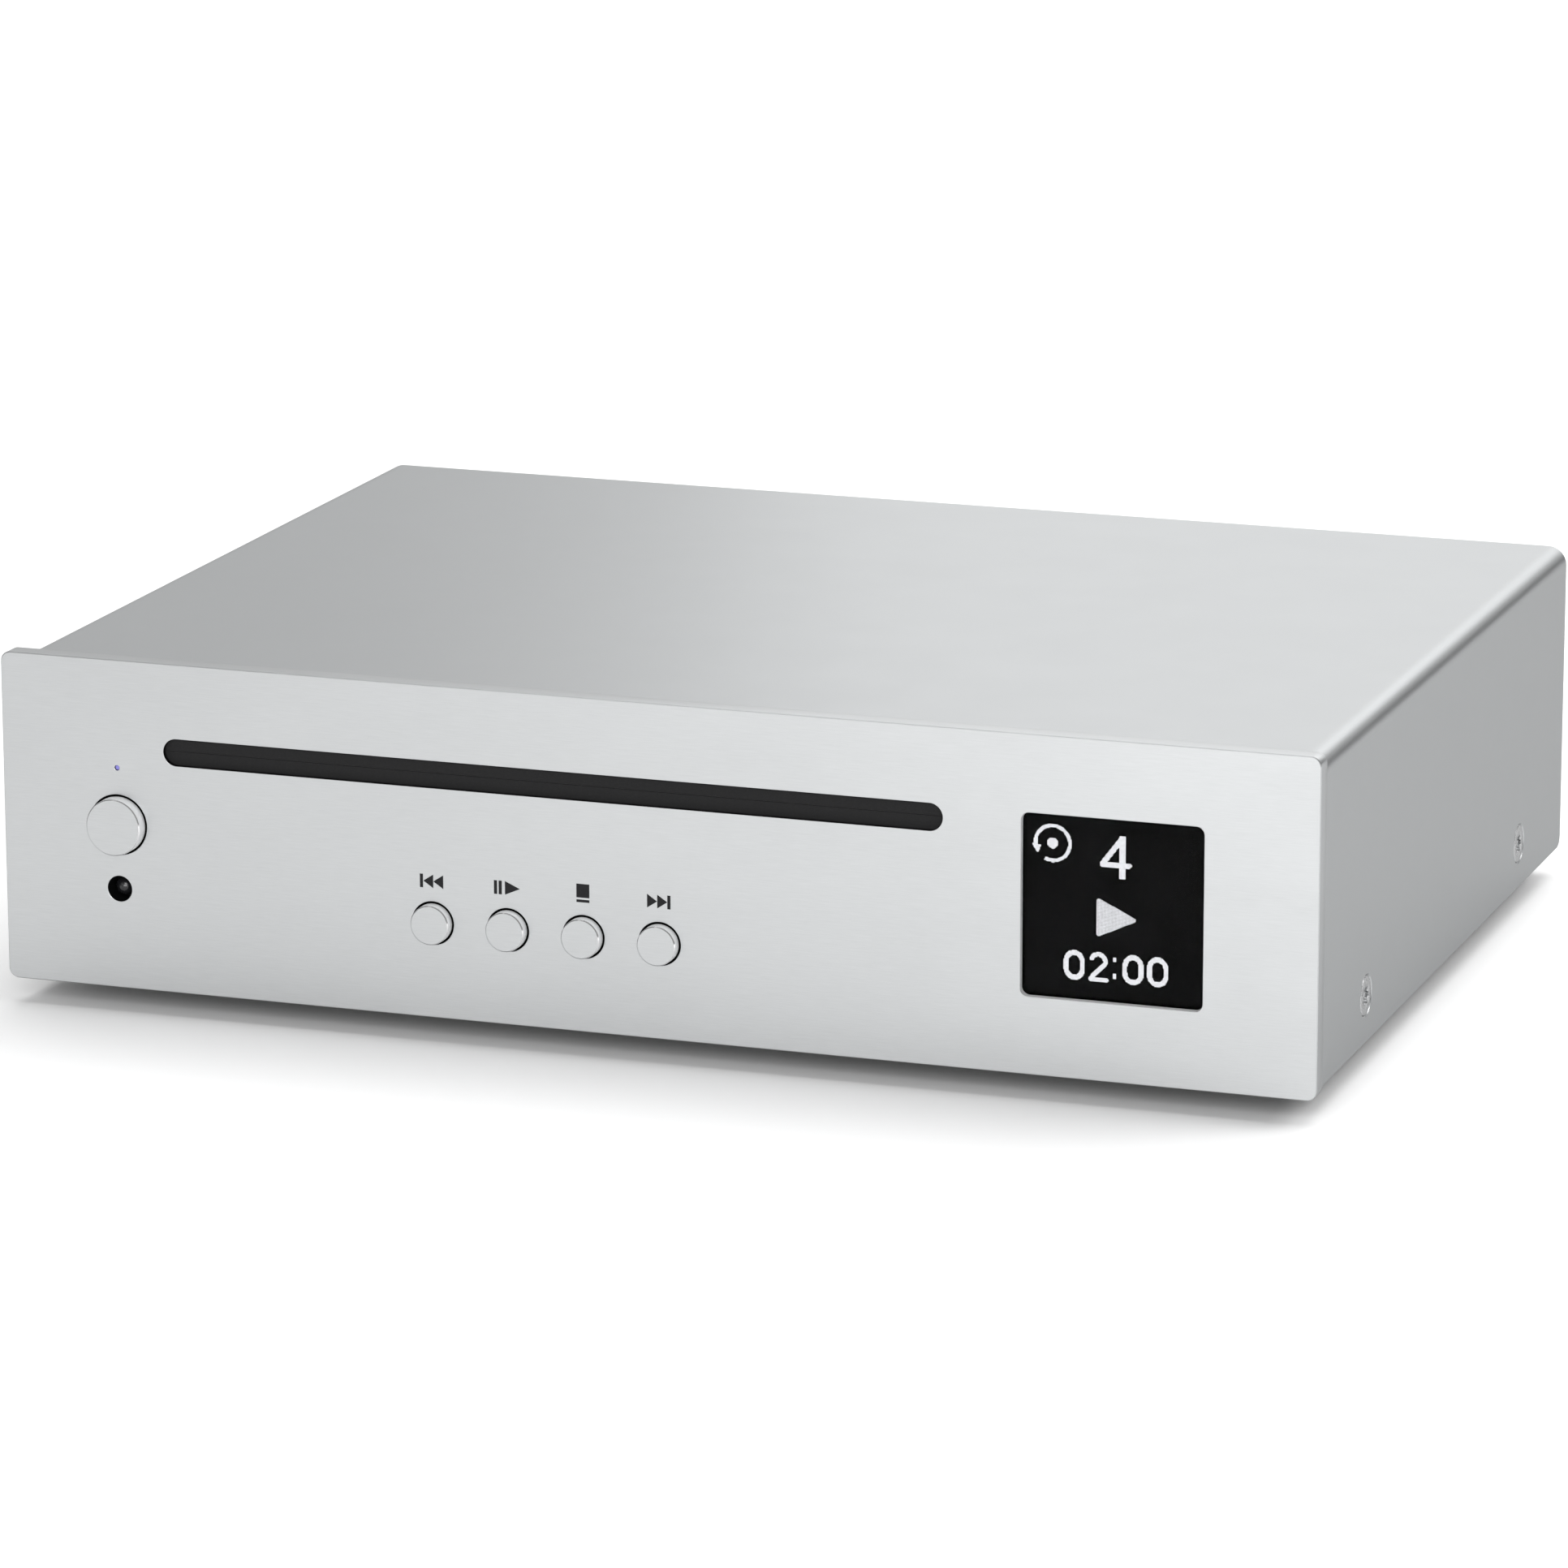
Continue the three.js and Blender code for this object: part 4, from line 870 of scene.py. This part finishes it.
def display():
    module_low, module_high = span("display_module")
    glass_low, glass_high = span("display_glass")
    middle = centre("display_glass")
    half = WINDOW["size"] / 2 + SCREEN["past_window"]
    screen = rounded_rectangle(2 * half, 2 * half, 0.5, middle.x, middle.z, steps=4)
    bm = prism(screen, module_low.y, SCREEN["back"])
    board = box_outline(module_low.x, module_low.z, module_high.x, module_high.z)
    prism(fillet(board, 0.8, closed=True), SCREEN["board_front"], SCREEN["board_back"], bm=bm)
    plug = box_outline(middle.x - 8, middle.z - half, middle.x + 8, middle.z - half + 5)
    prism(fillet(plug, 0.3, closed=True), SCREEN["plug_front"], module_high.y, bm=bm)
    add_piece("display_screen", bm, DISPLAY_BLACK, "display_module")

    dots = bmesh.new()
    count = round(WINDOW["size"] / DOT["pitch"])
    for row in range(count):
        for column in range(count):
            x = (column - (count - 1) / 2) * DOT["pitch"]
            z = (row - (count - 1) / 2) * DOT["pitch"]
            size = dot_size(x, z) / 2
            if size:
                x, z = x + middle.x, z + middle.z
                outline = box_outline(x - size, z - size, x + size, z + size)
                prism(outline, module_low.y - DOT["thick"], module_low.y - DOT["clear"], bm=dots)
    add_piece("display_dots", dots, DISPLAY_LIGHT, "display_module", stands_for=False)

    side = glass_high.x - glass_low.x

    def outer(grow):
        return rounded_rectangle(side, side, 0.6, middle.x, middle.z, grow, steps=4)

    front, back = (edge(y, 0.08, inwards, True, 2) for y, inwards in ((glass_low.y, 1), (glass_high.y, -1)))
    rings = stacked(outer, *front, *reversed(back))
    add_piece("display_pane", drilled_plate(rings), MATERIALS["window_glass"], "display_glass")


def remote_receiver():
    """A moulded lens over a dark dome."""
    low, high = span("ir_receiver")
    at = centre("ir_receiver")
    radius, dome_back, body_front = 1.5, 4, 3.8
    dome = [(radius * sin(t), low.y + radius * (1 - cos(t))) for t in [n * pi / 2 / 10 for n in range(11)]]
    bm = turned([*dome, (radius, dome_back), (0, dome_back)], (at.x, 0, at.z), steps=48)
    body = fillet(box_outline(low.x, low.z, high.x, high.z), 0.4, closed=True)
    prism(body, body_front, high.y, bm=bm)
    add_piece("remote_lens", bm, MATERIALS["gloss_black"], "ir_receiver")


def indicator():
    """A stem with a small crowned tip that fills the lamp hole."""
    low, high = span("power_led")
    at = centre("power_led")
    tip, stem = 0.37, 1.5
    profile = [(0, low.y), (tip * 0.7, low.y + 0.03), (tip, low.y + 0.15), (tip, 1.1), (stem, 1.3)]
    bm = turned([*profile, (stem, high.y), (0, high.y)], (at.x, 0, at.z), steps=32)
    add_piece("indicator_light_guide", bm, MATERIALS["indicator_lamp"], "power_led")


# ---------------------------------------------------------------- case

CASE = {"sheet": 1.5, "bend": 3.0, "corner": 1.8}
SCREWS = [f"cover_screw_{row}_{side}" for row in ("front", "rear") for side in ("left", "right")]
SCREW = {"head": 3.1, "shank": 1.4, "neck": 1.6, "socket": 1.3, "depth": 0.35, "rim": 0.2, "lobe": 0.16}


def cover():
    """One sheet bent over the top and down both sides."""
    low, high = span("top_cover")
    sheet, bend = CASE["sheet"], CASE["bend"]

    def arch(inset):
        left, right, top = low.x + inset, high.x - inset, high.z - inset
        corners = [(right, low.z), (right, top), (left, top), (left, low.z)]
        return fillet(corners, bend - inset, steps=14)

    outline = [*arch(0), *reversed(arch(sheet))]
    bm = prism(outline, low.y, high.y)
    cutters = []
    corner = CASE["corner"]
    offcut = [(high.y + 1, low.z - 1), (high.y + 1, low.z + corner)]
    offcut += [
        (high.y - corner + corner * cos(a), low.z + corner - corner * sin(a))
        for a in [n * pi / 2 / 8 for n in range(9)]
    ]
    offcut.append((high.y - corner, low.z - 1))
    cutters.append(prism(offcut, low.x - 1, high.x + 1, axis="x"))
    for node in SCREWS:
        at = centre(node)
        side = 1 if at.x > 0 else -1
        face, drill, sink = high.x, SCREW["shank"] + 0.3, SCREW["head"] + 0.2
        profile = [(0, face - 3), (drill, face - 3), (drill, face - sheet)]
        profile += [(sink, face), (sink, face + 1), (0, face + 1)]
        cutters.append(turned([(r, side * d) for r, d in profile], (0, at.y, at.z), "x", 64))
    add_piece("cover_sheet", bm, MATERIALS["satin_aluminium"], "top_cover", cutters=cutters, bevel=0.07)


def cover_screw(node):
    """A countersunk screw with a six-lobed socket in a shallow cone."""
    low, high = span(node)
    at = centre(node)
    side = 1 if at.x > 0 else -1
    tip, face = (low.x, high.x) if side > 0 else (-high.x, -low.x)
    head, shank, rim = SCREW["head"], SCREW["shank"], SCREW["rim"]
    profile = [(0, tip), (shank, tip), (shank, face - SCREW["neck"])]
    profile += [(head, face - rim), (head - rim, face), (0, face)]
    rounded = fillet(profile, 0.05, steps=2)
    bm = turned([(r, side * d) for r, d in rounded], (0, at.y, at.z), "x", 64)
    lobes, steps = 6, 48
    star = []
    for step in range(steps):
        angle = 2 * pi * step / steps
        radius = SCREW["socket"] * (1 + SCREW["lobe"] * cos(lobes * angle))
        star.append((at.y + radius * cos(angle), at.z + radius * sin(angle)))
    ends = sorted((side * (face - SCREW["depth"]), side * (face + 1)))
    socket = prism(star, *ends, axis="x")
    taper = [(0, face - SCREW["depth"] - 0.3), (SCREW["socket"] + 0.25, face + 0.1), (0, face + 0.1)]
    cone = turned([(r, side * d) for r, d in taper], (0, at.y, at.z), "x", 32)
    add_piece(f"{node}_head", bm, SCREW_STEEL, node, cutters=[socket, cone], bevel=0.05)


def foot(node):
    """A rubber foot with a softened rim and the hollow that its screw sits in."""
    low, high = span(node)
    at = centre(node)
    radius, height = (high.x - low.x) / 2, high.z
    hollow, hollow_top = 2.6, 1.8
    outline = [(hollow, hollow_top), (hollow, 0.02), (radius - 1.2, 0), (radius - 0.5, 0.9)]
    outline += [(radius, height), (0, height)]
    profile = [(0, hollow_top), *fillet(outline, 0.5, steps=5)]
    bm = turned(profile, (at.x, at.y, 0), "z", 64)
    add_piece(f"{node}_rubber", bm, MATERIALS["foot_rubber"], node)
    screw = turned(fillet([(0, 0.9), (2.1, 0.9), (2.3, 1.75), (0, 1.75)], 0.3), (at.x, at.y, 0), "z", 48)
    slot = box_outline(at.x - 1.4, at.y - 0.25, at.x + 1.4, at.y + 0.25)
    cross = box_outline(at.x - 0.25, at.y - 1.4, at.x + 0.25, at.y + 1.4)
    cutters = [prism(shape, 0.5, 1.35, axis="z") for shape in (slot, cross)]
    steel = MATERIALS["polished_steel"]
    thing = add_piece(f"{node}_screw", screw, steel, node, stands_for=False, cutters=cutters)


# ---------------------------------------------------------------- rear panel and sockets

PHONO = {"line_out_left": SOCKET_WHITE, "line_out_right": SOCKET_RED, "coaxial_out": SOCKET_BLACK}
PHONO_SHELL = 4.15
SOCKET_Z = 18.0
INLET = {"well": 3.15, "floor": 143.0, "front": 139.0, "pin": 1.0, "pin_end": 151}


def rear_panel():
    low, high = span("rear_panel")
    middle_x, middle_z = (low.x + high.x) / 2, (low.z + high.z) / 2
    size = high - low
    rounding = 0.15

    def outer(grow):
        return rounded_rectangle(size.x, size.z, 2, middle_x, middle_z, grow)

    def through(shape, is_outline):
        front = edge(low.y, rounding, 1, is_outline, 2)
        return stacked(shape, *front, *reversed(edge(high.y, rounding, -1, is_outline, 2)))

    holes = []
    for node in PHONO:
        x = centre(node).x
        holes.append(through(lambda grow, x=x: circle(PHONO_SHELL + 0.3, x, SOCKET_Z, grow, 64), False))
    for node, wide, tall in (("optical_out", 12.2, 12.2), ("power_inlet", 10, 11.6)):
        x = centre(node).x

        def opening(grow, x=x, wide=wide, tall=tall):
            return rounded_rectangle(wide, tall, 0.4, x, SOCKET_Z, grow, 3)

        holes.append(through(opening, False))
    bm = drilled_plate(through(outer, True), holes)
    add_piece("rear_plate", bm, MATERIALS["satin_aluminium"], "rear_panel")


def phono_socket(node, insert):
    """A gold shell with its flange, and the coloured insulator that shows which channel it is."""
    low, high = span(node)
    at = centre(node)
    shell, out, panel_back = PHONO_SHELL, high.y, span("rear_panel")[1].y
    flange, bore, neck, front, floor = shell + 1.2, shell - 0.75, 3.0, panel_back - 3, panel_back + 0.5
    outside = [(shell, front), (shell, panel_back + 0.1), (flange, panel_back + 0.1)]
    outside += [(flange, panel_back + 1), (shell, panel_back + 1), (shell, out)]
    inside = [(bore, out), (bore, floor), (neck, floor), (neck, front)]
    profile = fillet([*outside, *inside], 0.14, closed=True, steps=3)
    bm = turned([*profile, profile[0]], (at.x, 0, SOCKET_Z), steps=64)
    add_piece(f"{node}_shell", bm, MATERIALS["gold_contact"], node)

    pin_hole, rim, body, root = 1.65, 2.7, 3.3, panel_back + 0.55
    ring = [(pin_hole, out - 0.25), (rim, out - 0.25), (body, out - 0.5), (body, root), (pin_hole, root)]
    ring = fillet(ring, 0.12, closed=True, steps=3)
    insulator = turned([*ring, ring[0]], (at.x, 0, SOCKET_Z), steps=64)
    add_piece(f"{node}_insulator", insulator, insert, node, stands_for=False)
    block = fillet(box_outline(low.x, low.z, high.x, high.z), 0.4, closed=True)
    block = prism(block, low.y, span("rear_panel")[0].y - 0.1)
    add_piece(f"{node}_block", block, SOCKET_BLACK, node, stands_for=False, bevel=0.15)


def power_inlet():
    """A round well with a pin standing in it."""
    low, high = span("power_inlet")
    at = centre("power_inlet")
    width, height = high.x - low.x, 2 * (high.z - SOCKET_Z)
    well, floor = INLET["well"], INLET["floor"]

    def outer(grow):
        return rounded_rectangle(width, height, 0.6, at.x, SOCKET_Z, grow, steps=4)

    outline = stacked(outer, (INLET["front"], 0), *reversed(edge(high.y, 0.25, -1, True)))
    bm = drilled_plate(outline)
    hollow = [(0, floor), (well, floor), (well, high.y - 0.4), (well + 0.5, high.y + 0.1), (0, high.y + 0.1)]
    cutter = turned(hollow, (at.x, 0, SOCKET_Z), steps=64)
    add_piece("power_inlet_body", bm, MATERIALS["black_plastic"], "power_inlet", cutters=[cutter])
    pin, pin_end = INLET["pin"], INLET["pin_end"]
    crown = fillet([(pin, floor), (pin, pin_end), (0, pin_end)], 0.5)[1:]
    bm = turned([(0, floor - 0.5), (pin, floor - 0.5), *crown], (at.x, 0, SOCKET_Z), steps=32)
    thing = add_piece("power_inlet_pin", bm, MATERIALS["polished_steel"], "power_inlet", stands_for=False)


# ---------------------------------------------------------------- what stays as CAD

USUAL_EDGE = 0.12
EDGE_WIDTH = {"base_chassis": 0.2, "flat_cable": 0, "objective_lens": 0.1, "roller_shaft": 0.15}


def dress_cad_nodes():
    """Gives each CAD node that is still shown its finish and small rounded edges."""
    for name, thing in frame["nodes"].items():
        if thing.hide_render:
            continue
        material = MATERIALS[SLOT_OF[name]]
        if thing.material_slots:
            thing.material_slots[0].material = material
        else:
            thing.data.materials.append(material)
        weld = thing.modifiers.new("weld", "WELD")
        weld.merge_threshold = 2e-6
        width = EDGE_WIDTH.get(name, USUAL_EDGE)
        if width:
            soften(thing, width)
        flatten_big_faces(thing)


# ---------------------------------------------------------------- floor and light

FLOOR_REACH = 6.0
WORLD_LIGHT = 0.3
# name: azimuth and elevation in degrees, distance and size in metres, radiance
SOFTBOXES = {
    "overhead": (180, 78, 2.2, (2.3, 2.3), 2.1),
    "key": (155, 50, 2.0, (1.5, 1.5), 0.9),
    "behind": (181, 18, 1.5, (1.03, 0.84), 2.42),
    "behind_left": (222, 17, 1.5, (1.15, 0.8), 1.12),
    "fill": (12, 26, 0.95, (0.5, 0.36), 5),
    "front": (10, 5, 1.5, (1.0, 0.24), 10),
    "front_wide": (0, 15, 1.6, (2.4, 0.5), 1.0),
    "right": (105, 38, 0.85, (0.35, 0.35), 6.8),
}


def make_floor():
    material = bpy.data.materials.new("floor")
    material.use_nodes = True
    shader = material.node_tree.nodes["Principled BSDF"]
    shader.inputs["Base Color"].default_value = (0.9, 0.9, 0.9, 1)
    shader.inputs["Roughness"].default_value = 1
    shader.inputs["Specular IOR Level"].default_value = 0
    bm = bmesh.new()
    corners = box_outline(-FLOOR_REACH, -FLOOR_REACH, FLOOR_REACH, FLOOR_REACH)
    bm.faces.new([bm.verts.new((x, y, 0)) for x, y in corners])
    mesh = bpy.data.meshes.new("floor")
    bm.to_mesh(mesh)
    bm.free()
    mesh.materials.append(material)
    floor = bpy.data.objects.new("floor", mesh)
    bpy.context.scene.collection.objects.link(floor)


def softbox(name, azimuth, elevation, distance, size, radiance):
    """An area light that faces the player."""
    back = towards(azimuth, elevation)
    data = bpy.data.lights.new(name, "AREA")
    data.shape, data.size, data.size_y = "RECTANGLE", *size
    data.energy = radiance * pi * size[0] * size[1]
    light = bpy.data.objects.new(name, data)
    light.location = Vector((0, 0, 0.03)) + back * distance
    light.rotation_mode = "QUATERNION"
    light.rotation_quaternion = back.to_track_quat("Z", "Y")
    bpy.context.scene.collection.objects.link(light)


def make_light():
    scene = bpy.context.scene
    scene.view_settings.view_transform = "Standard"
    world = bpy.data.worlds.new("studio")
    scene.world = world
    world.use_nodes = True
    background = world.node_tree.nodes["Background"]
    background.inputs["Color"].default_value = (1, 1, 1, 1)
    background.inputs["Strength"].default_value = WORLD_LIGHT
    for name, settings in SOFTBOXES.items():
        softbox(name, *settings)


# ---------------------------------------------------------------- the scene

make_camera()
front_panel()
for name in BUTTONS:
    button(name, BUTTON_HOLE)
button("power_button", POWER_HOLE)
slot_lip("slot_lip_upper", -1)
slot_lip("slot_lip_lower", 1)
symbols()
display()
remote_receiver()
indicator()
cover()
for name in SCREWS:
    cover_screw(name)
for name in ("foot_front_left", "foot_rear_left", "foot_front_right", "foot_rear_right"):
    foot(name)
rear_panel()
for name, insert in PHONO.items():
    phono_socket(name, insert)
power_inlet()
dress_cad_nodes()
make_floor()
make_light()
